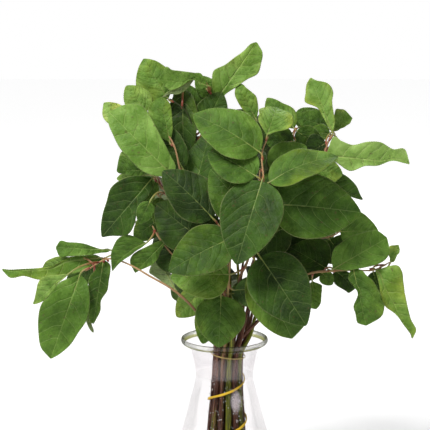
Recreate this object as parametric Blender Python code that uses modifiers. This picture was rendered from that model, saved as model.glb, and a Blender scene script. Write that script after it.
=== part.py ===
"""A bunch of salal stems, tied with yellow bands and standing in a clear glass vase of water.

Metres, +Z up. The origin is the centre of the vase's flat base. +X is to the right of someone who
stands in front of the bunch, and +Y is away from them. Each leafy stem is one solid: its woody
stem, leaf stalks and blades are fused. A blade is lofted from its stalk to its tip.
"""
import math
import random
from bisect import bisect
from collections import namedtuple

import bmesh
import bpy
import numpy as np
from mathutils import Matrix, Vector
from mathutils.bvhtree import BVHTree

MM = 0.001

# Vase, as a turned glass: outer radius at each height.
VASE_HEIGHT = 0.220
VASE_PROFILE = ((0.040, 0.0), (0.045, 0.002), (0.050, 0.010), (0.0585, 0.034), (0.0625, 0.062),
                (0.0595, 0.088), (0.0515, 0.115), (0.0432, 0.147), (0.0368, 0.173),
                (0.0376, 0.188), (0.0408, 0.2015), (0.0436, 0.2115))
LIP_PROFILE = ((0.0452, 0.2186), (0.0474, 0.2200), (0.0494, 0.2192), (0.0500, 0.2168),
               (0.0482, 0.2138))
GLASS_WALL = 0.0035
GLASS_FLOOR = 0.012
FLOOR_CORNER = 0.006
INNER_HEIGHTS = (0.018, 0.040, 0.062, 0.088, 0.115, 0.147, 0.173, 0.190, 0.210)
VASE_STEPS = 24

# Water, round the stems: it reaches this high and leaves a round hole for them.
WATER_TOP = 0.170
WATER_HOLE_RADIUS = 0.029
TOUCH_GAP = 0.0003

# The tied bundle: at each height its middle lies this far to the right, and its outer ring of
# stems stands on this radius.
BUNDLE = ((GLASS_FLOOR + TOUCH_GAP, 0.000, 0.0225), (0.113, 0.002, 0.0190), (0.170, 0.0035, 0.0145),
          (0.198, 0.0065, 0.0122), (0.214, 0.0095, 0.0128))
RING_COUNTS = (1, 7, 13)
INNER_RING_SHARE = 0.515

# Woody stems taper from the cut end to the tip.
STEM_RADIUS = 0.0029
STEM_TIP_RADIUS = 0.0009
STEM_GAP = 0.0024
JOIN_DISTANCES = (0.0000001, 0.00001, 0.00002, 0.00003, 0.00004)
COLLAPSE_SHARE = 0.25
ROUTE_STEP = 0.006
TUBE_EVERY = 4
LOW_EVERY = 7
LOCKED_BELOW = 0.206
PARTING_ROUNDS = 90

# Blades and their stalks.
BLADE_HALF_THICKNESS = 0.00045
STALK_RADIUS = 0.0009
CLEARANCE = 0.0007
BASE_ROUNDNESS = 0.52
BLADE_STATIONS = (0.10, 0.33, 0.60, 0.85)
PLAIN_STATIONS = (0.13, 0.42, 0.74)
EDGE_STATIONS = (0.05, 0.16, 0.30, 0.46, 0.62, 0.78, 0.92)
EDGE_KNOTS = (0.0,) + EDGE_STATIONS + (1.0,)
EDGE_FROM_MIDRIB = 0.15
WIDE_FROM = 34
LONG_STALK = 0.014
WIDE_COLUMNS = (-1.0, -0.5, 0.0, 0.5, 1.0)
PLAIN_COLUMNS = (-1.0, 0.0, 1.0)

# Someone looks at the bunch from here. Leaves are placed as they see them: millimetres to the
# right and up from the middle of the vase's rim, in the plane through it that faces them, and
# millimetres in front of that plane.
EYE_PITCH = math.radians(8.4)
EYE_DISTANCE = 1.5
EYE_RIGHT = -0.0109
EYE_UP = 0.1403
RIM_CENTRE = Vector((0.0, 0.0, VASE_HEIGHT))
RIGHT = Vector((1.0, 0.0, 0.0))
UP = Vector((0.0, math.sin(EYE_PITCH), math.cos(EYE_PITCH)))
AHEAD = Vector((0.0, math.cos(EYE_PITCH), -math.sin(EYE_PITCH)))
EYE = RIM_CENTRE + RIGHT * EYE_RIGHT + UP * EYE_UP - AHEAD * EYE_DISTANCE

# Ties: a thin one that slopes down to the right, and a thicker one wound round below it.
UPPER_TIE_RADIUS = 0.0007
UPPER_TIE_HEIGHT = 0.1995
UPPER_TIE_SLOPE = 0.0022
SPIRAL_TIE_RADIUS = 0.0011
SPIRAL_BOTTOM = 0.092
SPIRAL_TOP = 0.176
SPIRAL_TURNS = 1.75
SPIRAL_START = 2.2
SPIRAL_POINTS_PER_TURN = 14
RING_POINTS = 20

Leaf = namedtuple("Leaf", "base tip width face roll bow fold wave phase sweep twist hook point plain "
                          "left right")


def seen_at(across, up, toward):
    """Point seen at across, up (mm) and lying toward mm in front of the plane of the rim."""
    on_plane = RIM_CENTRE + RIGHT * (across * MM) + UP * (up * MM)
    share = (EYE_DISTANCE - toward * MM) / EYE_DISTANCE
    return EYE + (on_plane - EYE) * share


def leaf(base, tip, width, roll=0.0, bow=0.06, fold=0.10, wave=0.012, phase=0.0, sweep=0.0,
         twist=0.0, hook=0.0, point=0.85, left=(), right=()):
    """A leaf placed by eye: its stalk's end, its tip and its real width in mm. An irregular leaf
    also has its left and right margins in mm at the edge stations."""
    start = seen_at(*base)
    end = seen_at(*tip)
    face = (EYE - (start + end) / 2).normalized()
    return Leaf(start, end, width * MM, face, roll, bow, fold, wave, phase, sweep, twist, hook,
                point, width < WIDE_FROM or bool(left), left, right)


# Each stem: its route above the vase's mouth, and its leaves.
STEMS = {
    "stem_centre": (
        ((18, 43, 30), (17, 66, 46), (26, 86, 62), (39, 129, 80), (45, 177, 98), (43, 210, 88),
         (50, 230, 74)),
        (
            leaf((43, 179, 102), (14, 83, 122), 66, roll=8, bow=0.05),
            leaf((52, 178, 98), (131, 207, 90), 48, roll=-45, bow=0.1),
            leaf((40, 213, 90), (-36, 256, 72), 55, roll=25, bow=0.08),
            leaf((49, 232, 74), (60, 264, 48), 44, bow=0.1, point=0.5,
                 left=(-3, -9, -14, -15, -17, -13, -6), right=(2, 8, 18, 22, 22, 19, 13)),
            leaf((56, 153, 88), (157, 143, 80), 71, roll=-10, bow=0.06),
            leaf((41, 92, 82), (94, 13, 100), 64, roll=-5, bow=0.06),
            leaf((36, 86, 68), (78, -2, 76), 60, roll=10, bow=0.05,
                 left=(-7, -19, -25, -29, -30, -27, -18), right=(8, 19, 25, 27, 24, 18, 9)),
            leaf((34, 132, 78), (-16, 193, 68), 55, roll=10, bow=0.06),
            leaf((36, 185, 76), (-19, 214, 58), 48, roll=20, bow=0.06),
            leaf((5, 72, 56), (-62, 68, 60), 53, roll=10, bow=0.08),
        ),
    ),
    "stem_left_dark": (
        ((4, 43, 44), (6, 83, 60), (4, 112, 72), (-12, 136, 74)),
        (
            leaf((9, 114, 84), (-64, 75, 92), 55, roll=20, bow=0.08),
            leaf((-14, 137, 76), (-71, 191, 70), 53, roll=12, bow=0.06),
            leaf((-3, 128, 68), (-43, 114, 64), 41, roll=30, bow=0.05),
            leaf((-26, 112, 58), (-79, 153, 46), 57, roll=10, bow=0.05),
        ),
    ),
    "stem_right_low": (
        ((43, 22, 15), (67, 52, 35), (95, 72, 52), (121, 76, 58), (144, 77, 62), (172, 77, 60),
         (190, 86, 56)),
        (
            leaf((148, 79, 68), (163, 13, 76), 32, bow=0.03, wave=0.025,
                 left=(-7, -12, -18, -21, -23, -23, -16), right=(4, 7, 3, 1, 8, 8, 8)),
            leaf((148, 78, 72), (139, 90, 78), 10, roll=170, bow=0),
            leaf((174, 77, 62), (216, -2, 66), 28, bow=0.04, wave=0.02,
                 left=(-20, -24, -20, -15, -11, -8, -8), right=(1, 3, 7, 9, 3, 1, -1)),
            leaf((171, 75, 52), (182, 39, 46), 21),
            leaf((125, 78, 62), (187, 114, 54), 51, bow=0.08, left=(-10, -18, -20, -21, -19, -16, -11),
                 right=(2, 8, 12, 16, 19, 19, 13)),
            leaf((191, 86, 56), (200, 106, 50), 10, wave=0.025, left=(-1, -2, -5, -6, -8, -7, -2),
                 right=(2, 3, 3, 3, 4, 3, 1)),
            leaf((127, 77, 54), (151, 56, 50), 28, left=(-1, -4, -7, -8, -9, -7, -5),
                 right=(8, 9, 11, 11, 10, 9, 8)),
            leaf((117, 79, 48), (76, 103, 40), 51, roll=10),
            leaf((101, 64, 44), (105, 32, 44), 18, left=(-3, -9, -9, -8, -7, -6, -3),
                 right=(2, 5, 9, 9, 8, 8, 6)),
            leaf((112, 74, 46), (124, 60, 42), 15),
        ),
    ),
    "stem_right_mid": (
        ((36, 43, -5), (70, 94, 5), (101, 112, 20), (124, 116, 24), (137, 125, 20)),
        (
            leaf((133, 121, 22), (177, 121, 20), 46, roll=-20),
            leaf((121, 112, 26), (140, 85, 26), 41),
            leaf((98, 108, 18), (62, 86, 14), 51),
        ),
    ),
    "stem_right_top": (
        ((43, 48, 8), (73, 129, 25), (96, 175, 34), (114, 210, 40), (122, 231, 40)),
        (
            leaf((124, 236, 40), (99, 298, 26), 32, wave=0.025, left=(-1, -2, -3, -5, -15, -11, -6),
                 right=(3, 7, 9, 12, 17, 15, 4)),
            leaf((125, 237, 42), (147, 252, 40), 16, left=(-2, -5, -10, -15, -18, -15, -11),
                 right=(1, 2, 2, 3, 3, 3, 1)),
            leaf((117, 209, 42), (213, 199, 40), 32, wave=0.02, bow=0.04,
                 left=(-20, -17, -14, -19, -20, -14, -15), right=(2, 8, 14, 7, 5, -2, -1)),
            leaf((121, 233, 34), (96, 236, 32), 23, roll=40),
            leaf((119, 240, 30), (83, 253, 20), 32, roll=25),
            leaf((117, 223, 28), (94, 210, 20), 32, roll=10),
            leaf((105, 192, 46), (136, 187, 44), 28, roll=-10),
            leaf((105, 183, 34), (159, 158, 30), 30, left=(-3, -10, -15, -16, -14, -10, -3),
                 right=(0, 1, 1, 2, 2, 2, 1)),
        ),
    ),
    "stem_top_mid": (
        ((29, 54, -12), (37, 135, -5), (41, 204, 5), (36, 245, 10)),
        (
            leaf((36, 251, 12), (14, 291, 2), 23, left=(-2, -5, -7, -8, -8, -7, -3),
                 right=(3, 7, 10, 12, 10, 7, 5)),
            leaf((32, 236, 2), (9, 260, -8), 30),
            leaf((43, 215, 16), (29, 252, 14), 25, roll=-10),
        ),
    ),
    "stem_right_inner": (
        ((39, 86, 15), (50, 163, 46), (59, 194, 50), (75, 221, 35), (82, 240, 20)),
        (
            leaf((55, 190, 56), (94, 220, 50), 41, roll=-20, bow=0.1),
            leaf((80, 240, 20), (49, 275, 4), 39, roll=15, left=(-3, -8, -10, -12, -12, -11, -5),
                 right=(5, 10, 13, 12, 9, 6, 3)),
            leaf((80, 225, 32), (48, 224, 34), 32, roll=10),
            leaf((85, 241, 16), (109, 261, 6), 30, roll=-10),
            leaf((68, 130, 30), (37, 90, 20), 41),
            leaf((83, 237, 8), (112, 218, 0), 28),
        ),
    ),
    "stem_left_bright": (
        ((-3, 52, 22), (-25, 117, 38), (-44, 175, 50), (-51, 192, 52), (-58, 220, 46),
         (-74, 244, 34), (-94, 255, 26)),
        (
            leaf((-59, 185, 58), (-133, 259, 50), 53, bow=0.08, left=(-6, -15, -20, -20, -19, -14, -8),
                 right=(9, 13, 18, 23, 28, 30, 18)),
            leaf((-63, 224, 42), (-73, 276, 32), 32, left=(-3, -11, -15, -17, -17, -16, -10),
                 right=(1, 4, 6, 7, 8, 8, 5)),
            leaf((-48, 194, 44), (-72, 248, 32), 32, roll=-20),
            leaf((-97, 252, 26), (-139, 269, 20), 23, left=(-3, -9, -15, -18, -19, -17, -11),
                 right=(1, 2, 3, 4, 5, 4, 2)),
            leaf((-90, 259, 22), (-113, 289, 14), 30, roll=10),
        ),
    ),
    "stem_left_top": (
        ((4, 54, -8), (-10, 146, 5), (-28, 215, 14), (-44, 259, 18), (-63, 274, 18)),
        (
            leaf((-65, 274, 18), (-93, 320, 10), 48, bow=0.07, left=(-22, -28, -29, -25, -21, -15, -7),
                 right=(4, 11, 16, 18, 15, 11, 5)),
            leaf((-29, 243, 4), (-53, 293, -4), 39),
            leaf((-47, 284, 24), (-44, 194, 14), 37, roll=15),
            leaf((-25, 236, 10), (-3, 282, 2), 37),
            leaf((-20, 176, 22), (-37, 197, 22), 32),
        ),
    ),
    "stem_top": (
        ((16, 60, -14), (6, 158, -8), (-3, 227, 2), (-9, 266, 8), (-21, 286, 8)),
        (
            leaf((-9, 273, 10), (37, 339, -6), 39, wave=0.025, left=(-7, -16, -21, -14, -10, -6, -4),
                 right=(3, 5, 10, 15, 21, 17, 11)),
            leaf((-13, 277, 14), (-33, 300, 16), 23),
            leaf((-35, 297, 30), (-71, 276, 32), 14, roll=172, bow=-0.05,
                 left=(-1, -3, -4, -4, -3, -2, -1), right=(1, 3, 5, 6, 5, 1, 1)),
            leaf((-20, 289, 22), (-74, 296, 24), 21, bow=0.03, left=(0, 1, 5, 0, -7, -10, -4),
                 right=(5, 12, 12, 12, 12, 12, 14)),
            leaf((-5, 247, 4), (-35, 282, 0), 41),
            leaf((-7, 199, 12), (-35, 230, 12), 34),
        ),
    ),
    "stem_left_mid": (
        ((2, 43, 0), (-21, 86, 12), (-47, 132, 20), (-68, 167, 28), (-82, 183, 32)),
        (
            leaf((-83, 183, 36), (-141, 115, 44), 51, bow=0.1, left=(-3, -8, -10, -11, -18, -19, -6),
                 right=(7, 18, 25, 27, 21, 15, 7)),
            leaf((-80, 179, 38), (-89, 152, 40), 18, roll=30, wave=0.06),
            leaf((-88, 192, 26), (-124, 191, 14), 25, wave=0.03, left=(-2, -5, -8, -6, -4, -3, -2),
                 right=(2, 8, 13, 16, 19, 21, 11)),
            leaf((-91, 186, 22), (-124, 182, 12), 16),
            leaf((-74, 160, 36), (-80, 131, 40), 16),
            leaf((-86, 155, 30), (-98, 130, 28), 18),
        ),
    ),
    "stem_left_low": (
        ((-12, 37, 15), (-35, 70, 26), (-58, 93, 32), (-74, 112, 34), (-83, 128, 32)),
        (
            leaf((-14, 40, 18), (-25, -8, 14), 30),
            leaf((-66, 112, 40), (-103, 74, 46), 32, left=(-1, -2, -4, -7, -7, -4, -1),
                 right=(2, 5, 8, 11, 14, 15, 11)),
            leaf((-90, 108, 36), (-129, 76, 42), 28, left=(0, 0, 1, 1, 2, 2, 1),
                 right=(6, 17, 22, 23, 20, 15, 6)),
            leaf((-76, 135, 32), (-104, 112, 28), 30, roll=20),
            leaf((-44, 86, 30), (-83, 108, 22), 41),
            leaf((-28, 52, 18), (-55, 23, 14), 30),
        ),
    ),
    "stem_low": (
        ((7, 22, 14), (4, 39, 22), (-2, 53, 26)),
        (
            leaf((-4, 47, 30), (-7, -12, 30), 55, roll=5),
            leaf((1, 43, 24), (18, 13, 20), 25, roll=20),
        ),
    ),
    "stem_left_spray": (
        ((-18, 12, 44), (-40, 38, 58), (-60, 55, 60), (-86, 70, 54), (-111, 84, 44),
         (-134, 90, 36), (-160, 76, 34)),
        (
            leaf((-166, 72, 36), (-200, -25, 44), 53, bow=0.05, left=(-9, -16, -21, -23, -19, -15, -7),
                 right=(6, 18, 24, 29, 27, 21, 13)),
            leaf((-139, 89, 34), (-151, 15, 36), 23, left=(-7, -9, -9, -9, -4, -5, -2),
                 right=(2, 6, 12, 11, 10, 8, 5)),
            leaf((-150, 47, 30), (-151, 5, 32), 9, roll=170, left=(-2, -2, -4, -7, -8, -6, -3),
                 right=(1, 0, 0, 0, -2, -2, 0)),
            leaf((-131, 100, 34), (-194, 103, 30), 16, left=(-2, -3, -5, -7, -8, -9, -9),
                 right=(1, 0, 2, 5, 6, 6, 7)),
            leaf((-143, 91, 32), (-256, 78, 24), 21, wave=0.015,
                 left=(-4, -11, -14, -15, -16, -10, -10), right=(2, 4, 4, -3, -4, -3, -2)),
            leaf((-140, 89, 24), (-182, 61, 20), 30),
            leaf((-171, 91, 26), (-210, 77, 16), 14, left=(-1, -1, -1, -2, -3, -2, -1),
                 right=(2, 3, 6, 8, 8, 7, 3)),
            leaf((-180, 72, 28), (-220, 38, 26), 21, left=(0, 0, 0, -2, -3, -4, -2),
                 right=(2, 6, 11, 15, 13, 7, 2)),
            leaf((-58, 57, 40), (-78, 92, 30), 25, roll=170, left=(-1, -2, -3, -4, -4, -3, -1),
                 right=(2, 5, 8, 11, 14, 16, 8)),
        ),
    ),
}

# Stems of the back and sides, by rule: compass angle, lean and length of each.
BACK_STEMS = ((22, 32, 205), (48, 36, 225), (72, 42, 225), (97, 22, 250), (120, 40, 215),
              (142, 31, 205), (160, 31, 190))
BACK_LEAVES = 10
SHADE_LEAVES = 4
SHADE_FROM_Y = -0.02
TRIES = 60
BACK_SEED = 11
CROWNS = (((10, 152), (124, 112)), ((50, 52), (46, 44)), ((-18, 52), (34, 40)))
CROWN_HEART = Vector((0.015, 0.0, 0.330))


def clear_scene():
    for old in list(bpy.data.objects):
        bpy.data.objects.remove(old, do_unlink=True)


def curved(start, end, start_slope, end_slope, s):
    """The smooth curve from start to end that has these slopes there, s of the way along."""
    h00 = 2 * s ** 3 - 3 * s ** 2 + 1
    h10 = s ** 3 - 2 * s ** 2 + s
    h01 = -2 * s ** 3 + 3 * s ** 2
    h11 = s ** 3 - s ** 2
    return start * h00 + start_slope * h10 + end * h01 + end_slope * h11


def smooth_route(points, step):
    """Points every step or so along a smooth curve through the given points."""
    knots = [0.0]
    for before, after in zip(points, points[1:]):
        knots.append(knots[-1] + (after - before).length)
    slopes = []
    for i in range(len(points)):
        low = max(i - 1, 0)
        high = min(i + 1, len(points) - 1)
        slope = (points[high] - points[low]) / (knots[high] - knots[low])
        slopes.append(slope)
    route = [points[0].copy()]
    for i in range(len(points) - 1):
        span = knots[i + 1] - knots[i]
        count = max(1, round(span / step))
        for k in range(1, count + 1):
            route.append(curved(points[i], points[i + 1], slopes[i] * span, slopes[i + 1] * span,
                                k / count))
    return route


def bundle_slots():
    """Places of the stems in the bundle, on rings, for an outer ring of radius 1."""
    slots = []
    for ring, count in enumerate(RING_COUNTS):
        radius = (0.0, INNER_RING_SHARE, 1.0)[ring]
        for k in range(count):
            angle = 2 * math.pi * (k + 0.5 * ring) / count
            slots.append(Vector((radius * math.cos(angle), radius * math.sin(angle), 0.0)))
    return slots


def bundle_at(height):
    """Middle and outer ring radius of the bundle at a height."""
    heights = [row[0] for row in BUNDLE]
    middle = float(np.interp(height, heights, [row[1] for row in BUNDLE]))
    radius = float(np.interp(height, heights, [row[2] for row in BUNDLE]))
    return middle, radius


def take_slots(routes):
    """Give each stem the free slot that best fits the way it leans; wide leaners choose first."""
    free = bundle_slots()
    wanted = {}
    for name, points in routes.items():
        reach = points[min(2, len(points) - 1)]
        lean = Vector((reach.x - BUNDLE[-1][1], reach.y, 0.0)) / 0.07
        wanted[name] = lean.normalized() if lean.length > 1 else lean
    chosen = {}
    for name in sorted(wanted, key=lambda key: (-wanted[key].length, key)):
        best = min(free, key=lambda slot: (slot - wanted[name]).length)
        free.remove(best)
        chosen[name] = best
    return chosen


def part_stems(dense, radii):
    """Push the stems' points apart above the tie, until no stem touches another."""
    names = list(dense)
    points = np.array([list(p) for name in names for p in dense[name]])
    owner = np.array([i for i, name in enumerate(names) for _ in dense[name]])
    thick = np.array([r for name in names for r in radii[name]])
    free = (points[:, 2] > LOCKED_BELOW)[:, None]
    apart = owner[:, None] != owner[None, :]
    need = thick[:, None] + thick[None, :] + STEM_GAP
    offset = np.zeros_like(points)
    same_next = np.append(owner[1:] == owner[:-1], False)
    for _ in range(PARTING_ROUNDS):
        here = points + offset
        delta = here[:, None, :] - here[None, :, :]
        gap = np.sqrt((delta ** 2).sum(axis=2)) + 1e-9
        lack = np.where(apart, np.clip(need - gap, 0.0, None), 0.0)
        offset += ((delta / gap[:, :, None]) * (0.5 * lack)[:, :, None]).sum(axis=1) * free
        after = np.roll(offset, -1, axis=0)
        before = np.roll(offset, 1, axis=0)
        after[~same_next] = offset[~same_next]
        ends = np.roll(~same_next, 1)
        before[ends] = offset[ends]
        offset = (0.5 * offset + 0.25 * after + 0.25 * before) * free
    moved = points + offset
    result = {}
    start = 0
    for name in names:
        count = len(dense[name])
        result[name] = [Vector(p) for p in moved[start:start + count]]
        start += count
    return result


def stem_radius(share):
    """Radius of a woody stem, a share of the way from its cut end to its tip."""
    return STEM_RADIUS + (STEM_TIP_RADIUS - STEM_RADIUS) * share ** 1.6


def grow_stems():
    """Centre lines and radii of every woody stem."""
    routes = {name: [seen_at(*p) for p in stem[0]] for name, stem in STEMS.items()}
    for i, (compass, lean, length) in enumerate(BACK_STEMS):
        routes[f"stem_back_{i + 1}"] = back_route(compass, lean, length * MM)
    slots = take_slots(routes)
    dense = {}
    radii = {}
    for name, points in routes.items():
        low = []
        for height, middle, radius in BUNDLE:
            low.append(Vector((middle, 0.0, height)) + slots[name] * radius)
        dense[name] = smooth_route(low + points, ROUTE_STEP)
        last = len(dense[name]) - 1
        radii[name] = [stem_radius(k / last) for k in range(last + 1)]
    return part_stems(dense, radii), radii


def back_route(compass, lean, length):
    """Route of a back stem: it rises from the mouth and leans out more and more."""
    away = Vector((math.cos(math.radians(compass)), math.sin(math.radians(compass)), 0.0))
    here = Vector((BUNDLE[-1][1], 0.0, 0.236)) + away * 0.016
    points = [here.copy()]
    for k in range(4):
        tilt = math.radians(lean * (0.45 + 0.35 * k))
        here = here + (away * math.sin(tilt) + Vector((0, 0, math.cos(tilt)))) * (length / 4)
        points.append(here.copy())
    return points


def blade_axes(one):
    """Length, and the directions along, out of and across a blade."""
    chord = one.tip - one.base
    along = chord.normalized()
    out = (one.face - along * one.face.dot(along)).normalized()
    out = Matrix.Rotation(math.radians(one.roll), 3, along) @ out
    return chord.length, along, out, along.cross(out)


def half_width(one, t):
    """Half width of a blade, t of the way to its tip: round at the base, pointed at the tip."""
    if t <= 0.0 or t >= 1.0:
        return 0.0
    widest = BASE_ROUNDNESS / (BASE_ROUNDNESS + one.point)
    swell = (t / widest) ** BASE_ROUNDNESS * ((1 - t) / (1 - widest)) ** one.point
    return 0.5 * one.width * swell


def edge_at(margin, t):
    """Where an irregular margin lies to the side, t of the way to the tip."""
    values = (0.0,) + margin + (0.0,)
    last = len(values) - 1
    i = max(0, min(last - 1, bisect(EDGE_KNOTS, t) - 1))
    span = EDGE_KNOTS[i + 1] - EDGE_KNOTS[i]
    slopes = []
    for k in (i, i + 1):
        low = max(k - 1, 0)
        high = min(k + 1, last)
        slopes.append((values[high] - values[low]) / (EDGE_KNOTS[high] - EDGE_KNOTS[low]) * span)
    return curved(values[i], values[i + 1], slopes[0], slopes[1], (t - EDGE_KNOTS[i]) / span) * MM


def across_at(one, t, c, extra=0.0):
    """How far to the side a blade's point lies, c of the way from its midrib to a margin."""
    if not one.left or t <= 0.0 or t >= 1.0:
        return c * (half_width(one, t) + extra)
    left = edge_at(one.left, t)
    right = edge_at(one.right, t)
    keep = EDGE_FROM_MIDRIB * (right - left)
    midrib = min(max(0.0, left + keep), right - keep)
    edge = right if c > 0 else left
    return midrib + abs(c) * (edge - midrib) + c * extra


def blade_point(one, axes, t, c, extra=0.0):
    """Middle of the blade's thickness, t of the way to the tip and c of the way to a margin."""
    length, along, out, across = axes
    arch = 4 * t * (1 - t)
    turn = Matrix.Rotation(math.radians(one.twist * (t - 0.4)), 3, along)
    over = turn @ out
    side = turn @ across
    reach = across_at(one, t, c, extra)
    rise = one.fold * abs(reach) * abs(c) ** 0.3
    ripple = one.wave * length * math.sin(2 * math.pi * 2.3 * t + one.phase + (1.9 if c > 0 else 0.0))
    rise += ripple * c * c * min(1.0, 4 * t, 5 * (1 - t))
    bend = max(0.0, t - 0.6) / 0.4
    place = one.base + along * (length * t)
    place = place + out * (one.bow * length * arch - one.hook * length * bend ** 2)
    place = place + across * (one.sweep * length * arch)
    return place + side * reach + over * rise, over


def stalk_points(one, axes, root):
    """Root, bend and end of a leaf stalk, which turns into the blade's midrib."""
    along = axes[1]
    reach = (one.base - root).length
    if reach < LONG_STALK:
        return [root, one.base]
    control = one.base - along * min(0.45 * reach, 0.02)
    return [root, root * 0.25 + control * 0.5 + one.base * 0.25, one.base]


def ring_of(places, overs, offsets):
    """One closed ring: upper side from left to right, then the lower side back again."""
    upper = [p + o * f for p, o, f in zip(places, overs, offsets)]
    lower = [p - o * f for p, o, f in zip(places, overs, offsets)]
    return upper + lower[-2:0:-1]


def leaf_rings(one, root, grow=0.0):
    """Rings of a leaf from its root in the stem to the last one before its tip."""
    axes = blade_axes(one)
    columns = PLAIN_COLUMNS if one.plain else WIDE_COLUMNS
    stations = PLAIN_STATIONS if one.plain else BLADE_STATIONS
    stations = EDGE_STATIONS if one.left else stations
    stalk = stalk_points(one, axes, root)
    ways = [stalk[1] - root] + [one.base - root] * (len(stalk) - 2) + [axes[1]]
    rings = []
    for place, way in zip(stalk, ways):
        side = way.normalized().cross(axes[2])
        side = side.normalized() if side.length > 0.2 else axes[3]
        over = side.cross(way.normalized()).normalized()
        radius = STALK_RADIUS + grow
        places = [place + side * (radius * c) for c in columns]
        offsets = [radius * math.sqrt(max(0.0, 1 - c * c)) for c in columns]
        rings.append(ring_of(places, [over] * len(columns), offsets))
    for t in stations:
        pairs = [blade_point(one, axes, t, c, grow) for c in columns]
        offsets = [0.0 if abs(c) == 1 else BLADE_HALF_THICKNESS + grow for c in columns]
        rings.append(ring_of([p for p, _ in pairs], [o for _, o in pairs], offsets))
    tip = blade_point(one, axes, 1.0, 0.0)[0] + axes[1] * grow
    return rings, tip


def leaf_faces(one, root, grow=0.0):
    """Vertices and triangles of a leaf; its upper and lower faces are split alike."""
    rings, tip = leaf_rings(one, root, grow)
    size = len(rings[0])
    points = [p for ring in rings for p in ring] + [tip]
    faces = []
    middle = size // 2
    for i in range(len(rings) - 1):
        low = i * size
        high = low + size
        for j in range(size):
            k = (j + 1) % size
            if j < middle:
                faces.append((low + j, low + k, high + k))
                faces.append((low + j, high + k, high + j))
            else:
                faces.append((low + j, low + k, high + j))
                faces.append((low + k, high + k, high + j))
    last = (len(rings) - 1) * size
    for j in range(size):
        faces.append((last + j, last + (j + 1) % size, len(points) - 1))
    for j in range(1, size - 1):
        faces.append((0, j + 1, j))
    return points, faces


def tree_of(points, faces):
    return BVHTree.FromPolygons(points, faces)


def picked(route):
    """Which points of a route its tube runs through: fewer of them down in the bundle."""
    low = [i for i in range(len(route)) if route[i].z < LOCKED_BELOW]
    high = list(range(low[-1], len(route) - 2, TUBE_EVERY))
    return low[:-1:LOW_EVERY] + high + [len(route) - 1]


def tube_faces(route, radii):
    """Vertices and faces of a plain six-sided tube, for finding what a leaf would touch."""
    points = []
    faces = []
    picks = picked(route)
    for n, i in enumerate(picks):
        way = (route[min(i + 1, len(route) - 1)] - route[max(i - 1, 0)]).normalized()
        side = way.orthogonal().normalized()
        over = way.cross(side)
        for k in range(6):
            angle = 2 * math.pi * k / 6
            points.append(route[i] + (side * math.cos(angle) + over * math.sin(angle)) * radii[i])
            if n:
                low = (n - 1) * 6
                faces.append((low + k, low + (k + 1) % 6, low + 6 + (k + 1) % 6, low + 6 + k))
    return points, faces


def on_tube(route, index):
    """Point on the straight runs of a stem's tube that stands for a point of its route."""
    picks = picked(route)
    for low, high in zip(picks, picks[1:]):
        if low <= index <= high:
            return route[low].lerp(route[high], (index - low) / (high - low))
    return route[-1]


def root_on(route, one):
    """Where a leaf's stalk leaves its stem: a little below the nearest point, or above it."""
    nearest = min(range(len(route)), key=lambda i: (route[i] - one.base).length)
    gap = (route[nearest] - one.base).length
    steps = round(max(0.004, 0.45 * gap) / ROUTE_STEP)
    way = route[min(nearest + 1, len(route) - 1)] - route[max(nearest - 1, 0)]
    hangs = way.dot(one.tip - one.base) < 0 and nearest + steps < len(route)
    index = nearest + steps if hangs else nearest - steps
    return on_tube(route, max(0, min(len(route) - 1, index)))


def shifted(one, closer, tip_closer, roll):
    """The same leaf moved along the line of sight, its tip moved more, and rolled."""
    base = one.base + (EYE - one.base).normalized() * closer
    tip = one.tip + (EYE - one.tip).normalized() * (closer + tip_closer)
    return one._replace(base=base, tip=tip, roll=one.roll + roll)


def trial_moves():
    """Small moves first: how much closer to the eye, the tip more so, and how much rolled."""
    moves = []
    for closer in (0, 5, -5, 10, -10, 16, -16, 23, -23, 31, -31, 40, -40, 50):
        for tip_closer in (0, 7, -7, 15, -15, 25, -25):
            for roll in (0, 9, -9, 20, -20):
                cost = abs(closer) + 0.8 * abs(tip_closer) + 0.5 * abs(roll)
                moves.append((cost, closer * MM, tip_closer * MM, roll))
    return [move[1:] for move in sorted(moves)]


MOVES = trial_moves()


class Thicket:
    """What has grown so far, to keep each new leaf clear of it."""

    def __init__(self, routes, radii):
        self.routes = routes
        self.woods = {name: tree_of(*tube_faces(routes[name], radii[name])) for name in routes}
        self.blades = {name: [] for name in routes}
        self.leaves = {name: [] for name in routes}

    def clear(self, name, one, root, strict):
        """Whether a leaf of a stem stays clear of the other stems, and if strict of its own."""
        points, faces = leaf_faces(one, root, CLEARANCE)
        tree = tree_of(points, faces)
        for other in self.routes:
            if other != name:
                if tree.overlap(self.woods[other]):
                    return False
                if any(tree.overlap(blade) for blade in self.blades[other]):
                    return False
        if strict and any(tree.overlap(blade) for blade in self.blades[name]):
            return False
        return True

    def add(self, name, one, root):
        self.blades[name].append(tree_of(*leaf_faces(one, root)))
        self.leaves[name].append((one, root))

    def place(self, name, one):
        """Set a leaf as near to its wanted place as it stays clear; say whether it fits."""
        for strict in (True, False):
            for move in MOVES:
                moved = shifted(one, *move)
                root = root_on(self.routes[name], moved)
                if self.clear(name, moved, root, strict):
                    self.add(name, moved, root)
                    return True
        return False


def in_crown(place):
    """Whether a point is seen from the front inside one of the leafy crown's ovals."""
    ray = place - EYE
    scale = EYE_DISTANCE / ray.dot(AHEAD)
    on_plane = EYE + ray * scale - RIM_CENTRE
    across = on_plane.dot(RIGHT) / MM
    up = on_plane.dot(UP) / MM
    return any(((across - middle[0]) / half[0]) ** 2 + ((up - middle[1]) / half[1]) ** 2 < 1.0
               for middle, half in CROWNS)


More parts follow.
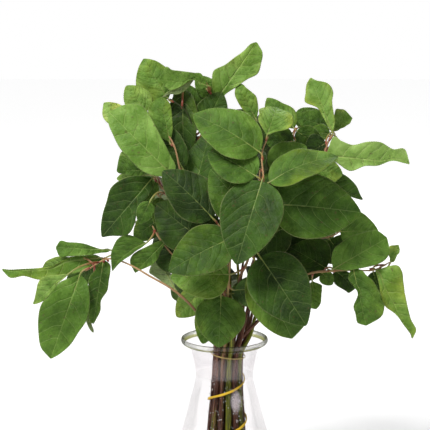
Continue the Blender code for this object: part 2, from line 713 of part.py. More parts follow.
def ruled_leaf(route, share, turn, draw):
    """A leaf by rule: it leaves its stem by turn degrees, outwards and a little down."""
    index = max(1, min(len(route) - 2, round(share * (len(route) - 1))))
    here = route[index]
    way = (route[index + 1] - route[index - 1]).normalized()
    side = Matrix.Rotation(math.radians(turn), 3, way) @ way.orthogonal().normalized()
    outward = (here - CROWN_HEART).normalized()
    aim = (side * 1.1 + way * 0.45 + outward * 0.6 + Vector((0, 0, -0.2))).normalized()
    length = draw.uniform(0.064, 0.096)
    base = here + aim * 0.008
    face = (outward + Vector((0, 0, 0.5)) + way * 0.3).normalized()
    return Leaf(base, base + aim * length, length * draw.uniform(0.54, 0.64), face,
                draw.uniform(-25, 25), draw.uniform(0.02, 0.09), draw.uniform(0.05, 0.2),
                draw.uniform(0.005, 0.022), draw.uniform(0, 6), draw.uniform(-0.04, 0.04),
                draw.uniform(-15, 15), draw.uniform(0.0, 0.05), 0.85, True, (), ())


def allowed(one, back):
    """Whether a leaf by rule stays in the crown, and on a front stem behind the placed leaves."""
    middle = (one.tip + one.base) / 2
    if not (in_crown(one.tip) and in_crown(middle)):
        return False
    return back or max(one.tip.y, one.base.y) > SHADE_FROM_Y


def grow_ruled(thicket):
    """Leaves drawn by rule: most on the back stems, a few in the shade of the others."""
    draw = random.Random(BACK_SEED)
    for name, route in thicket.routes.items():
        back = name.startswith("stem_back")
        count, spacing = (BACK_LEAVES, 0.045) if back else (SHADE_LEAVES, 0.075)
        for k in range(count):
            share = 0.985 - spacing * k
            for _ in range(TRIES):
                one = ruled_leaf(route, share, 137.5 * k + draw.uniform(-70, 70), draw)
                if not allowed(one, back):
                    continue
                root = root_on(route, one)
                if thicket.clear(name, one, root, True):
                    thicket.add(name, one, root)
                    break


def grow():
    """The whole bunch: routes, radii and leaves of every stem."""
    routes, radii = grow_stems()
    thicket = Thicket(routes, radii)
    for name, stem in STEMS.items():
        for one in stem[1]:
            if not thicket.place(name, one):
                print("no room for a leaf of", name)
    grow_ruled(thicket)
    return routes, radii, thicket.leaves


def material(name, colour, roughness):
    """A plain material for a sub-part."""
    made = bpy.data.materials.new(name)
    made.use_nodes = True
    shader = made.node_tree.nodes["Principled BSDF"]
    shader.inputs["Base Color"].default_value = (*colour, 1.0)
    shader.inputs["Roughness"].default_value = roughness
    return made


def new_object(name, data, collection):
    made = bpy.data.objects.new(name, data)
    collection.objects.link(made)
    return made


def mesh_from(name, points, faces):
    """A mesh with its faces turned outwards."""
    mesh = bpy.data.meshes.new(name)
    mesh.from_pydata([tuple(p) for p in points], [], faces)
    work = bmesh.new()
    work.from_mesh(mesh)
    bmesh.ops.recalc_face_normals(work, faces=work.faces)
    work.to_mesh(mesh)
    work.free()
    return mesh


def curve_object(name, points, radii, collection, resolution, closed=False):
    """A round bar along the points: a poly curve with a bevel and filled caps."""
    curve = bpy.data.curves.new(name, "CURVE")
    curve.dimensions = "3D"
    curve.bevel_depth = 1.0
    curve.bevel_resolution = resolution
    curve.use_fill_caps = True
    spline = curve.splines.new("POLY")
    spline.points.add(len(points) - 1)
    spline.use_cyclic_u = closed
    for knot, place, radius in zip(spline.points, points, radii):
        knot.co = (*place, 1.0)
        knot.radius = radius
    return new_object(name, curve, collection)


def as_mesh(curved):
    """The curve as a mesh object with its caps welded on."""
    depsgraph = bpy.context.evaluated_depsgraph_get()
    mesh = bpy.data.meshes.new_from_object(curved.evaluated_get(depsgraph))
    work = bmesh.new()
    work.from_mesh(mesh)
    bmesh.ops.remove_doubles(work, verts=work.verts, dist=0.00001)
    work.to_mesh(mesh)
    work.free()
    name = curved.name
    made = new_object(name + "_mesh", mesh, curved.users_collection[0])
    made.matrix_world = curved.matrix_world
    bpy.data.objects.remove(curved, do_unlink=True)
    made.name = name
    return made


def shells_of(work):
    """The separate shells of a mesh, each a list of its corners, largest first."""
    unseen = set(work.verts)
    shells = []
    for start in work.verts:
        if start not in unseen:
            continue
        unseen.discard(start)
        shell = [start]
        for corner in shell:
            for edge in corner.link_edges:
                other = edge.other_vert(corner)
                if other in unseen:
                    unseen.discard(other)
                    shell.append(other)
        shells.append(shell)
    return sorted(shells, key=len, reverse=True)


def main_shell(mesh):
    """A working copy of a mesh with its sealed hollows filled and its loose scraps dropped."""
    work = bmesh.new()
    work.from_mesh(mesh)
    for shell in shells_of(work)[1:]:
        bmesh.ops.delete(work, geom=shell, context="VERTS")
    return work


def thinnest_face(work):
    """Height of the thinnest triangle of a mesh, or nothing for one that isn't a sound shell."""
    loose = [part for part in (*work.edges, *work.verts) if not part.is_manifold]
    if loose or len(shells_of(work)) != 1:
        return 0.0
    split = work.copy()
    bmesh.ops.triangulate(split, faces=split.faces)
    height = min(face.calc_area() / max(edge.calc_length() for edge in face.edges)
                 for face in split.faces)
    split.free()
    return height


def keep_best_shell(mesh):
    """Join the corners of a mesh that nearly touch, by the distance that leaves the fattest
    slivers. Say whether what stays is sound."""
    best = 0.0
    for distance in JOIN_DISTANCES:
        work = main_shell(mesh)
        bmesh.ops.remove_doubles(work, verts=work.verts, dist=distance)
        bmesh.ops.dissolve_degenerate(work, dist=distance * COLLAPSE_SHARE, edges=work.edges)
        height = thinnest_face(work)
        if height > best:
            best = height
            joined = work.copy()
        work.free()
    if best:
        joined.to_mesh(mesh)
        joined.free()
    return best > 0.0


def fuse(stem, leaves):
    """Join a woody stem and a collection of leaves into one solid, and remove the leaves."""
    union = stem.modifiers.new("leaves", "BOOLEAN")
    union.operation = "UNION"
    union.operand_type = "COLLECTION"
    union.collection = leaves
    for solver in ("EXACT", "MANIFOLD"):
        union.solver = solver
        bpy.context.view_layer.update()
        depsgraph = bpy.context.evaluated_depsgraph_get()
        joined = bpy.data.meshes.new_from_object(stem.evaluated_get(depsgraph))
        if keep_best_shell(joined):
            break
    stem.modifiers.clear()
    stem.data = joined
    for done in list(leaves.objects):
        bpy.data.objects.remove(done, do_unlink=True)
    bpy.data.collections.remove(leaves)


def build_stem(name, route, radii, leaves, bunch, bark, green):
    """One leafy stem."""
    picks = picked(route)
    stem = as_mesh(curve_object(name, [route[i] for i in picks], [radii[i] for i in picks],
                                bunch, 1))
    stem.data.materials.clear()
    stem.data.materials.append(bark)
    stem.data.materials.append(green)
    parts = bpy.data.collections.new(name + "_leaves")
    bpy.context.scene.collection.children.link(parts)
    for number, (one, root) in enumerate(leaves):
        mesh = mesh_from(f"{name}_leaf_{number}", *leaf_faces(one, root))
        mesh.materials.append(bark)
        mesh.materials.append(green)
        mesh.polygons.foreach_set("material_index", [1] * len(mesh.polygons))
        new_object(mesh.name, mesh, parts)
    fuse(stem, parts)
    stem.data.shade_smooth()
    stem.data.set_sharp_from_angle(angle=math.radians(50))


def turned(name, profile, collection, closed=False):
    """A profile of radius and height pairs turned round the Z axis."""
    mesh = bpy.data.meshes.new(name)
    edges = [(i, i + 1) for i in range(len(profile) - 1)]
    if closed:
        edges.append((len(profile) - 1, 0))
    mesh.from_pydata([(radius, 0.0, height) for radius, height in profile], edges, [])
    made = new_object(name, mesh, collection)
    screw = made.modifiers.new("turn", "SCREW")
    screw.steps = VASE_STEPS
    screw.render_steps = VASE_STEPS
    screw.use_merge_vertices = True
    screw.merge_threshold = 0.0001
    screw.use_smooth_shade = True
    return made


def wall_inside(height):
    """Inner radius of the vase at a height."""
    radii = [row[0] for row in VASE_PROFILE]
    heights = [row[1] for row in VASE_PROFILE]
    return float(np.interp(height, heights, radii)) - GLASS_WALL


def build_vase(bunch, glass):
    """The vase: up the inside from its floor, over the lip and down the outside to its base."""
    inside = [(wall_inside(height), height) for height in INNER_HEIGHTS]
    profile = [(0.0, GLASS_FLOOR), (inside[0][0] - FLOOR_CORNER, GLASS_FLOOR)] + inside
    profile += list(LIP_PROFILE) + list(reversed(VASE_PROFILE)) + [(0.0, 0.0)]
    vase = turned("vase", profile, bunch)
    vase.data.materials.append(glass)


def build_water(bunch, clear):
    """The water: a ring between the stems' round hole and the glass."""
    low = GLASS_FLOOR + TOUCH_GAP
    sides = [height for height in INNER_HEIGHTS if height < WATER_TOP] + [WATER_TOP]
    outside = [(wall_inside(height) - TOUCH_GAP, height) for height in sides]
    profile = [(outside[0][0] - FLOOR_CORNER, low), (WATER_HOLE_RADIUS, low),
               (WATER_HOLE_RADIUS, WATER_TOP)] + list(reversed(outside))
    water = turned("water", profile, bunch, closed=True)
    water.data.materials.append(clear)


def bundle_reach(routes, radii, height):
    """How far the outermost stem reaches from the bundle's middle at a height."""
    middle = bundle_at(height)[0]
    reach = 0.0
    for name, route in routes.items():
        picks = picked(route)
        heights = [route[i].z for i in picks]
        x = float(np.interp(height, heights, [route[i].x for i in picks]))
        y = float(np.interp(height, heights, [route[i].y for i in picks]))
        radius = float(np.interp(height, heights, [radii[name][i] for i in picks]))
        reach = max(reach, math.hypot(x - middle, y) + radius)
    return reach


def band_point(routes, radii, height, angle, corner, thick):
    """Middle of a band that lies on the bundle; corner is half the angle between its points."""
    reach = bundle_reach(routes, radii, height) + TOUCH_GAP + thick
    reach /= math.cos(corner)
    return Vector((bundle_at(height)[0] + reach * math.cos(angle), reach * math.sin(angle), height))


def upper_band_point(routes, radii, angle, corner):
    """Middle of the upper band, which lies higher on the left than on the right."""
    height = UPPER_TIE_HEIGHT - UPPER_TIE_SLOPE * math.cos(angle)
    return band_point(routes, radii, height, angle, corner, UPPER_TIE_RADIUS)


def build_ties(routes, radii, bunch, yellow):
    """A ring of thin band near the neck, and a band wound down round the bundle below it."""
    step = 2 * math.pi / RING_POINTS
    ring = [upper_band_point(routes, radii, step * k, step / 2) for k in range(RING_POINTS)]
    upper = curve_object("tie_upper", ring, [UPPER_TIE_RADIUS] * len(ring), bunch, 1, closed=True)
    count = round(SPIRAL_TURNS * SPIRAL_POINTS_PER_TURN)
    step = 2 * math.pi / SPIRAL_POINTS_PER_TURN
    rise = (SPIRAL_TOP - SPIRAL_BOTTOM) / count
    spiral = [band_point(routes, radii, SPIRAL_BOTTOM + rise * k, SPIRAL_START + step * k,
                         step / 2, SPIRAL_TIE_RADIUS) for k in range(count + 1)]
    lower = curve_object("tie_spiral", spiral, [SPIRAL_TIE_RADIUS] * len(spiral), bunch, 1)
    for band in (upper, lower):
        as_mesh(band).data.materials.append(yellow)


def main():
    clear_scene()
    bunch = bpy.data.collections.new("salal_bunch")
    bpy.context.scene.collection.children.link(bunch)
    build_vase(bunch, material("clear_glass", (0.93, 0.95, 0.95), 0.05))
    build_water(bunch, material("clear_water", (0.85, 0.92, 0.95), 0.05))
    routes, radii, leaves = grow()
    build_ties(routes, radii, bunch, material("yellow_band", (0.75, 0.62, 0.08), 0.55))
    bark = material("brown_bark", (0.16, 0.08, 0.04), 0.7)
    green = material("leaf_green", (0.05, 0.13, 0.02), 0.45)
    for name in routes:
        build_stem(name, routes[name], radii[name], leaves[name], bunch, bark, green)


main()
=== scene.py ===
"""The looks of a bunch of salal stems in a clear glass vase, round the part's own solids.

The stems, stalks and blades grow by the same rule and the same values as the part's, so each fine
piece lies where its plain solid is. Only near the rim does the dressed bundle stand a little wider.
"""
import math
import random
from bisect import bisect
from collections import namedtuple

import bmesh
import bpy
import numpy as np
from mathutils import Matrix, Vector, noise
from mathutils.bvhtree import BVHTree


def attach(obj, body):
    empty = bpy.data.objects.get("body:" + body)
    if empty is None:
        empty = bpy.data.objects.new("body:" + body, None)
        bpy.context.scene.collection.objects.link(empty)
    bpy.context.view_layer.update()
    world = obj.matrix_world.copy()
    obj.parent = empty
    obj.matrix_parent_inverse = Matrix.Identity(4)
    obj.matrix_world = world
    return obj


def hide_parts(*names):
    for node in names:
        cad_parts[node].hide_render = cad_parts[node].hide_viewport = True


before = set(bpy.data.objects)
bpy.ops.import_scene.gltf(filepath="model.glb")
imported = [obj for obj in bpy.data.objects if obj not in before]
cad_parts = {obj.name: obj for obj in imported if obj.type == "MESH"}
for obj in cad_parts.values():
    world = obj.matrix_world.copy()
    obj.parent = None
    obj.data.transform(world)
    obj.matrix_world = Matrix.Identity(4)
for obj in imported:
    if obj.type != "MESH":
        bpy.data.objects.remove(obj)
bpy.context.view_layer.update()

MM = 0.001
FULL_TURN = 2 * math.pi

# Vase, as a turned glass: outer radius at each height.
VASE_HEIGHT = 0.220
VASE_PROFILE = ((0.040, 0.0), (0.045, 0.002), (0.050, 0.010), (0.0585, 0.034), (0.0625, 0.062),
                (0.0595, 0.088), (0.0515, 0.115), (0.0432, 0.147), (0.0368, 0.173),
                (0.0376, 0.188), (0.0408, 0.2015), (0.0436, 0.2115))
LIP_BEAD = ((0.0432, 0.2140), (0.0457, 0.2176), (0.0467, 0.2193), (0.0481, 0.2200), (0.0494, 0.2192),
            (0.0500, 0.2174), (0.0496, 0.2153), (0.0481, 0.2136), (0.0458, 0.2124))
GLASS_WALL = 0.0035
GLASS_FLOOR = 0.012
FLOOR_CORNER = 0.006
FLOOR_DISH = 0.0006
FLOOR_FLAT = 0.6
MERGE_WITHIN = 0.0001
INNER_HEIGHTS = (0.018, 0.040, 0.062, 0.088, 0.115, 0.147, 0.173, 0.190, 0.210)
VASE_FINENESS = 0.0022
VASE_SEGMENTS = 128

# Water: its surface dips a little from the glass to the middle.
WATER_LINE = 0.1766
WATER_DIP = ((0.001, 0.0004), (0.004, 0.0008))
WATER_FINENESS = 0.004
WATER_SEGMENTS = 96
TOUCH_GAP = 0.0003

# The tied bundle: at each height its middle lies this far to the right, and its outer ring of
# stems stands on this radius.
BUNDLE = ((GLASS_FLOOR + TOUCH_GAP, 0.000, 0.0225), (0.113, 0.002, 0.0190), (0.170, 0.0035, 0.0145),
          (0.198, 0.0065, 0.0122), (0.214, 0.0095, 0.0128))
RINGS = ((1, 0.0), (7, 0.515), (13, 1.0))
LEAN_AT_POINT = 2
FULL_LEAN = 0.07

# Woody stems taper from the cut end to the tip, and are pushed apart above the ties.
STEM_RADIUS = 0.0029
STEM_TIP_RADIUS = 0.0009
STEM_TAPER = 1.6
STEM_GAP = 0.0024
ROUTE_STEP = 0.006
TUBE_SIDES = 6
TUBE_EVERY = 4
LOW_EVERY = 7
LOCKED_BELOW = 0.206
PARTING_ROUNDS = 90
NO_DISTANCE = 1e-9

# Blades and their stalks.
BLADE_HALF_THICKNESS = 0.00045
STALK_RADIUS = 0.0009
CLEARANCE = 0.0007
BASE_ROUNDNESS = 0.52
LEAF_POINT = 0.85
PLACED_FOLD = 0.10
BLADE_STATIONS = (0.10, 0.33, 0.60, 0.85)
PLAIN_STATIONS = (0.13, 0.42, 0.74)
EDGE_STATIONS = (0.05, 0.16, 0.30, 0.46, 0.62, 0.78, 0.92)
EDGE_KNOTS = (0.0,) + EDGE_STATIONS + (1.0,)
EDGE_FROM_MIDRIB = 0.15
WIDE_FROM = 34
LONG_STALK = 0.014
STALK_BEND_SHARE = 0.45
STALK_BEND_MOST = 0.02
FLAT_SIDE = 0.2
WIDE_COLUMNS = (-1.0, -0.5, 0.0, 0.5, 1.0)
PLAIN_COLUMNS = (-1.0, 0.0, 1.0)
FOLD_CURVE = 0.3
WAVES_ON_BLADE = 2.3
RIGHT_WAVE_LEAD = 1.9
WAVE_RISES, WAVE_FALLS = 4, 5
TWIST_FROM = 0.4
HOOK_FROM = 0.6
ROOT_BELOW_LEAST = 0.004
ROOT_BELOW_SHARE = 0.45

# A leaf that isn't clear of the others is moved closer to the eye, its tip more so, and rolled,
# the smallest move first. These are in mm and degrees, with what a unit of each counts for.
CLOSER_MOVES = (0, 5, -5, 10, -10, 16, -16, 23, -23, 31, -31, 40, -40, 50)
TIP_MOVES = (0, 7, -7, 15, -15, 25, -25)
ROLL_MOVES = (0, 9, -9, 20, -20)
TIP_COST = 0.8
ROLL_COST = 0.5

# Someone looks at the bunch from here. Leaves are placed as they see them: millimetres to the
# right and up from the middle of the vase's rim, in the plane through it that faces them, and
# millimetres in front of that plane.
EYE_PITCH = math.radians(8.4)
EYE_DISTANCE = 1.5
EYE_RIGHT = -0.0109
EYE_UP = 0.1403
RIM_CENTRE = Vector((0.0, 0.0, VASE_HEIGHT))
RIGHT = Vector((1.0, 0.0, 0.0))
UP = Vector((0.0, math.sin(EYE_PITCH), math.cos(EYE_PITCH)))
AHEAD = Vector((0.0, math.cos(EYE_PITCH), -math.sin(EYE_PITCH)))
EYE = RIM_CENTRE + RIGHT * EYE_RIGHT + UP * EYE_UP - AHEAD * EYE_DISTANCE
LENS = 109.2
SENSOR_WIDTH = 36.0

# Ties: a thin one that slopes down to the right, and a thicker one wound round below it.
UPPER_TIE_RADIUS = 0.0007
UPPER_TIE_HEIGHT = 0.1995
UPPER_TIE_SLOPE = 0.0022
UPPER_TIE_POINTS = 96
SPIRAL_TIE_RADIUS = 0.0011
SPIRAL_WIDER = 1.3
SPIRAL_BOTTOM = 0.092
SPIRAL_TOP = 0.176
SPIRAL_TURNS = 1.75
SPIRAL_START = 2.2
SPIRAL_POINTS_A_TURN = 60
BAND_SIDES = 10
BAND_THINNESS = 0.55
BAND_TWIST = 0.5
BAND_TWIST_STEP = 0.35

Leaf = namedtuple("Leaf", "base tip width face roll bow fold wave phase sweep twist hook point plain "
                          "left right tone rag")


def seen_at(across, up, toward):
    """Point seen at across, up (mm) and lying toward mm in front of the plane of the rim."""
    on_plane = RIM_CENTRE + RIGHT * (across * MM) + UP * (up * MM)
    share = (EYE_DISTANCE - toward * MM) / EYE_DISTANCE
    return EYE + (on_plane - EYE) * share


def leaf(base, tip, width, tone, roll=0.0, bow=0.06, wave=0.012, point=LEAF_POINT, left=(), right=(),
         rag=0.0):
    """A leaf placed as the eye sees it: its stalk's end, its tip and its real width in mm, and how pale
    a green it is. An irregular leaf also has its left and right margins in mm at the edge stations.
    Rag is how ragged its margin is."""
    start = seen_at(*base)
    end = seen_at(*tip)
    face = (EYE - (start + end) / 2).normalized()
    plain = width < WIDE_FROM or bool(left)
    return Leaf(start, end, width * MM, face, roll, bow, PLACED_FOLD, wave, 0.0, 0.0, 0.0, 0.0, point,
                plain, left, right, tone, rag)


# Each stem: its route above the vase's mouth, and then its leaves. A leaf's tone is partly its own green
# and partly painted light: leaves that look lit were given paler tones, and leaves in shade darker ones.
STEMS = {
    "stem_centre": (
        ((18, 43, 30), (17, 66, 46), (26, 86, 62), (39, 129, 80), (45, 177, 98), (43, 210, 88),
         (50, 230, 74)),
        leaf((43, 179, 102), (14, 83, 122), 66, 0.12, roll=8, bow=0.05),
        leaf((52, 178, 98), (131, 207, 90), 48, 0.31, roll=-45, bow=0.1),
        leaf((40, 213, 90), (-36, 256, 72), 55, 0.38, roll=25, bow=0.08),
        leaf((49, 232, 74), (60, 264, 48), 44, 0.55, bow=0.1, point=0.5,
             left=(-3, -9, -14, -15, -17, -13, -6), right=(2, 8, 18, 22, 22, 19, 13)),
        leaf((56, 153, 88), (157, 143, 80), 71, 0.22, roll=-10),
        leaf((41, 92, 82), (94, 13, 100), 64, 0.09, roll=-5),
        leaf((36, 86, 68), (78, -2, 76), 60, 0.4, roll=10, bow=0.05,
             left=(-7, -19, -25, -29, -30, -27, -18), right=(8, 19, 25, 27, 24, 18, 9)),
        leaf((34, 132, 78), (-16, 193, 68), 55, 0.3, roll=10),
        leaf((36, 185, 76), (-19, 214, 58), 48, 0.3, roll=20),
        leaf((5, 72, 56), (-62, 68, 60), 53, 0.5, roll=10, bow=0.08),
    ),
    "stem_left_dark": (
        ((4, 43, 44), (6, 83, 60), (4, 112, 72), (-12, 136, 74)),
        leaf((9, 114, 84), (-64, 75, 92), 55, 0.18, roll=20, bow=0.08),
        leaf((-14, 137, 76), (-71, 191, 70), 53, 0, roll=12),
        leaf((-3, 128, 68), (-43, 114, 64), 41, 0.15, roll=30, bow=0.05),
        leaf((-26, 112, 58), (-79, 153, 46), 57, 0.08, roll=10, bow=0.05),
    ),
    "stem_right_low": (
        ((43, 22, 15), (67, 52, 35), (95, 72, 52), (121, 76, 58), (144, 77, 62), (172, 77, 60),
         (190, 86, 56)),
        leaf((148, 79, 68), (163, 13, 76), 32, 0.31, bow=0.03, wave=0.025, rag=0.12,
             left=(-7, -12, -18, -21, -23, -23, -16), right=(4, 7, 3, 1, 8, 8, 8)),
        leaf((148, 78, 72), (139, 90, 78), 10, 0.9, roll=170, bow=0),
        leaf((174, 77, 62), (216, -2, 66), 28, 0.54, bow=0.04, wave=0.02, rag=0.1,
             left=(-20, -24, -20, -15, -11, -8, -8), right=(1, 3, 7, 9, 3, 1, -1)),
        leaf((171, 75, 52), (182, 39, 46), 21, 0.25),
        leaf((125, 78, 62), (187, 114, 54), 51, 0.4, bow=0.08, left=(-10, -18, -20, -21, -19, -16, -11),
             right=(2, 8, 12, 16, 19, 19, 13)),
        leaf((191, 86, 56), (200, 106, 50), 10, 0.6, wave=0.025, left=(-1, -2, -5, -6, -8, -7, -2),
             right=(2, 3, 3, 3, 4, 3, 1)),
        leaf((127, 77, 54), (151, 56, 50), 28, 0.15, left=(-1, -4, -7, -8, -9, -7, -5),
             right=(8, 9, 11, 11, 10, 9, 8)),
        leaf((117, 79, 48), (76, 103, 40), 51, 0.12, roll=10),
        leaf((101, 64, 44), (105, 32, 44), 18, 0.45, left=(-3, -9, -9, -8, -7, -6, -3),
             right=(2, 5, 9, 9, 8, 8, 6)),
        leaf((112, 74, 46), (124, 60, 42), 15, 0.4),
    ),
    "stem_right_mid": (
        ((36, 43, -5), (70, 94, 5), (101, 112, 20), (124, 116, 24), (137, 125, 20)),
        leaf((133, 121, 22), (177, 121, 20), 46, 0.4, roll=-20),
        leaf((121, 112, 26), (140, 85, 26), 41, 0.15),
        leaf((98, 108, 18), (62, 86, 14), 51, 0.08),
    ),
    "stem_right_top": (
        ((43, 48, 8), (73, 129, 25), (96, 175, 34), (114, 210, 40), (122, 231, 40)),
        leaf((124, 236, 40), (99, 298, 26), 32, 0.6, wave=0.025, left=(-1, -2, -3, -5, -15, -11, -6),
             right=(3, 7, 9, 12, 17, 15, 4)),
        leaf((125, 237, 42), (147, 252, 40), 16, 0.55, left=(-2, -5, -10, -15, -18, -15, -11),
             right=(1, 2, 2, 3, 3, 3, 1)),
        leaf((117, 209, 42), (213, 199, 40), 32, 0.74, bow=0.04, wave=0.02,
             left=(-20, -17, -14, -19, -20, -14, -15), right=(2, 8, 14, 7, 5, -2, -1)),
        leaf((121, 233, 34), (96, 236, 32), 23, 0.35, roll=40),
        leaf((119, 240, 30), (83, 253, 20), 32, 0.3, roll=25),
        leaf((117, 223, 28), (94, 210, 20), 32, 0.05, roll=10),
        leaf((105, 192, 46), (136, 187, 44), 28, 0.55, roll=-10),
        leaf((105, 183, 34), (159, 158, 30), 30, 0.22, left=(-3, -10, -15, -16, -14, -10, -3),
             right=(0, 1, 1, 2, 2, 2, 1)),
    ),
    "stem_top_mid": (
        ((29, 54, -12), (37, 135, -5), (41, 204, 5), (36, 245, 10)),
        leaf((36, 251, 12), (14, 291, 2), 23, 0.5, left=(-2, -5, -7, -8, -8, -7, -3),
             right=(3, 7, 10, 12, 10, 7, 5)),
        leaf((32, 236, 2), (9, 260, -8), 30, 0.1),
        leaf((43, 215, 16), (29, 252, 14), 25, 0.05, roll=-10),
    ),
    "stem_right_inner": (
        ((39, 86, 15), (50, 163, 46), (59, 194, 50), (75, 221, 35), (82, 240, 20)),
        leaf((55, 190, 56), (94, 220, 50), 41, 0.45, roll=-20, bow=0.1),
        leaf((80, 240, 20), (49, 275, 4), 39, 0.45, roll=15, left=(-3, -8, -10, -12, -12, -11, -5),
             right=(5, 10, 13, 12, 9, 6, 3)),
        leaf((80, 225, 32), (48, 224, 34), 32, 0.2, roll=10),
        leaf((85, 241, 16), (109, 261, 6), 30, 0.3, roll=-10),
        leaf((68, 130, 30), (37, 90, 20), 41, 0.1),
        leaf((83, 237, 8), (112, 218, 0), 28, 0.25),
    ),
    "stem_left_bright": (
        ((-3, 52, 22), (-25, 117, 38), (-44, 175, 50), (-51, 192, 52), (-58, 220, 46), (-74, 244, 34),
         (-94, 255, 26)),
        leaf((-59, 185, 58), (-133, 259, 50), 53, 0.53, bow=0.08, left=(-6, -15, -20, -20, -19, -14, -8),
             right=(9, 13, 18, 23, 28, 30, 18)),
        leaf((-63, 224, 42), (-73, 276, 32), 32, 0.45, left=(-3, -11, -15, -17, -17, -16, -10),
             right=(1, 4, 6, 7, 8, 8, 5)),
        leaf((-48, 194, 44), (-72, 248, 32), 32, 0.15, roll=-20),
        leaf((-97, 252, 26), (-139, 269, 20), 23, 0.8, left=(-3, -9, -15, -18, -19, -17, -11),
             right=(1, 2, 3, 4, 5, 4, 2)),
        leaf((-90, 259, 22), (-113, 289, 14), 30, 0.6, roll=10),
    ),
    "stem_left_top": (
        ((4, 54, -8), (-10, 146, 5), (-28, 215, 14), (-44, 259, 18), (-63, 274, 18)),
        leaf((-65, 274, 18), (-93, 320, 10), 48, 0.5, bow=0.07, left=(-22, -28, -29, -25, -21, -15, -7),
             right=(4, 11, 16, 18, 15, 11, 5)),
        leaf((-29, 243, 4), (-53, 293, -4), 39, 0.25),
        leaf((-47, 284, 24), (-44, 194, 14), 37, 0.12, roll=15),
        leaf((-25, 236, 10), (-3, 282, 2), 37, 0.15),
        leaf((-20, 176, 22), (-37, 197, 22), 32, 0.5),
    ),
    "stem_top": (
        ((16, 60, -14), (6, 158, -8), (-3, 227, 2), (-9, 266, 8), (-21, 286, 8)),
        leaf((-9, 273, 10), (37, 339, -6), 39, 0.55, wave=0.025, left=(-7, -16, -21, -14, -10, -6, -4),
             right=(3, 5, 10, 15, 21, 17, 11)),
        leaf((-13, 277, 14), (-33, 300, 16), 23, 0.4),
        leaf((-35, 297, 30), (-71, 276, 32), 14, 0.6, roll=172, bow=-0.05,
             left=(-1, -3, -4, -4, -3, -2, -1), right=(1, 3, 5, 6, 5, 1, 1)),
        leaf((-20, 289, 22), (-74, 296, 24), 21, 0.5, bow=0.03, left=(0, 1, 5, 0, -7, -10, -4),
             right=(5, 12, 12, 12, 12, 12, 14)),
        leaf((-5, 247, 4), (-35, 282, 0), 41, 0.3),
        leaf((-7, 199, 12), (-35, 230, 12), 34, 0.5),
    ),
    "stem_left_mid": (
        ((2, 43, 0), (-21, 86, 12), (-47, 132, 20), (-68, 167, 28), (-82, 183, 32)),
        leaf((-83, 183, 36), (-141, 115, 44), 51, 0.08, bow=0.1, left=(-3, -8, -10, -11, -18, -19, -6),
             right=(7, 18, 25, 27, 21, 15, 7)),
        leaf((-80, 179, 38), (-89, 152, 40), 18, 0.35, roll=30, wave=0.06),
        leaf((-88, 192, 26), (-124, 191, 14), 25, 0.35, wave=0.03, left=(-2, -5, -8, -6, -4, -3, -2),
             right=(2, 8, 13, 16, 19, 21, 11)),
        leaf((-91, 186, 22), (-124, 182, 12), 16, 0.7),
        leaf((-74, 160, 36), (-80, 131, 40), 16, 0.5),
        leaf((-86, 155, 30), (-98, 130, 28), 18, 0.3),
    ),
    "stem_left_low": (
        ((-12, 37, 15), (-35, 70, 26), (-58, 93, 32), (-74, 112, 34), (-83, 128, 32)),
        leaf((-14, 40, 18), (-25, -8, 14), 30, 0.35),
        leaf((-66, 112, 40), (-103, 74, 46), 32, 0.3, left=(-1, -2, -4, -7, -7, -4, -1),
             right=(2, 5, 8, 11, 14, 15, 11)),
        leaf((-90, 108, 36), (-129, 76, 42), 28, 0.35, left=(0, 0, 1, 1, 2, 2, 1),
             right=(6, 17, 22, 23, 20, 15, 6)),
        leaf((-76, 135, 32), (-104, 112, 28), 30, 0.2, roll=20),
        leaf((-44, 86, 30), (-83, 108, 22), 41, 0.05),
        leaf((-28, 52, 18), (-55, 23, 14), 30, 0.55),
    ),
    "stem_low": (
        ((7, 22, 14), (4, 39, 22), (-2, 53, 26)),
        leaf((-4, 47, 30), (-7, -12, 30), 55, 0.28, roll=5),
        leaf((1, 43, 24), (18, 13, 20), 25, 0.15, roll=20),
    ),
    "stem_left_spray": (
        ((-18, 12, 44), (-40, 38, 58), (-60, 55, 60), (-86, 70, 54), (-111, 84, 44), (-134, 90, 36),
         (-160, 76, 34)),
        leaf((-166, 72, 36), (-200, -25, 44), 53, 0.36, bow=0.05, left=(-9, -16, -21, -23, -19, -15, -7),
             right=(6, 18, 24, 29, 27, 21, 13)),
        leaf((-139, 89, 34), (-151, 15, 36), 23, 0.25, left=(-7, -9, -9, -9, -4, -5, -2),
             right=(2, 6, 12, 11, 10, 8, 5)),
        leaf((-150, 47, 30), (-151, 5, 32), 9, 0.6, roll=170, left=(-2, -2, -4, -7, -8, -6, -3),
             right=(1, 0, 0, 0, -2, -2, 0)),
        leaf((-131, 100, 34), (-194, 103, 30), 16, 0.4, left=(-2, -3, -5, -7, -8, -9, -9),
             right=(1, 0, 2, 5, 6, 6, 7)),
        leaf((-143, 91, 32), (-256, 78, 24), 21, 0.42, wave=0.015,
             left=(-4, -11, -14, -15, -16, -10, -10), right=(2, 4, 4, -3, -4, -3, -2)),
        leaf((-140, 89, 24), (-182, 61, 20), 30, 0.15),
        leaf((-171, 91, 26), (-210, 77, 16), 14, 0.6, left=(-1, -1, -1, -2, -3, -2, -1),
             right=(2, 3, 6, 8, 8, 7, 3)),
        leaf((-180, 72, 28), (-220, 38, 26), 21, 0.65, left=(0, 0, 0, -2, -3, -4, -2),
             right=(2, 6, 11, 15, 13, 7, 2)),
        leaf((-58, 57, 40), (-78, 92, 30), 25, 0.5, roll=170, left=(-1, -2, -3, -4, -4, -3, -1),
             right=(2, 5, 8, 11, 14, 16, 8)),
    ),
}

# Stems of the back and sides, by rule: compass angle, lean and length of each.
BACK_STEMS = ((22, 32, 205), (48, 36, 225), (72, 42, 225), (97, 22, 250), (120, 40, 215),
              (142, 31, 205), (160, 31, 190))
BACK_BENDS = 4
BACK_FROM = 0.236
BACK_OUT = 0.016
LEAN_AT_FIRST = 0.45
LEAN_MORE = 0.35

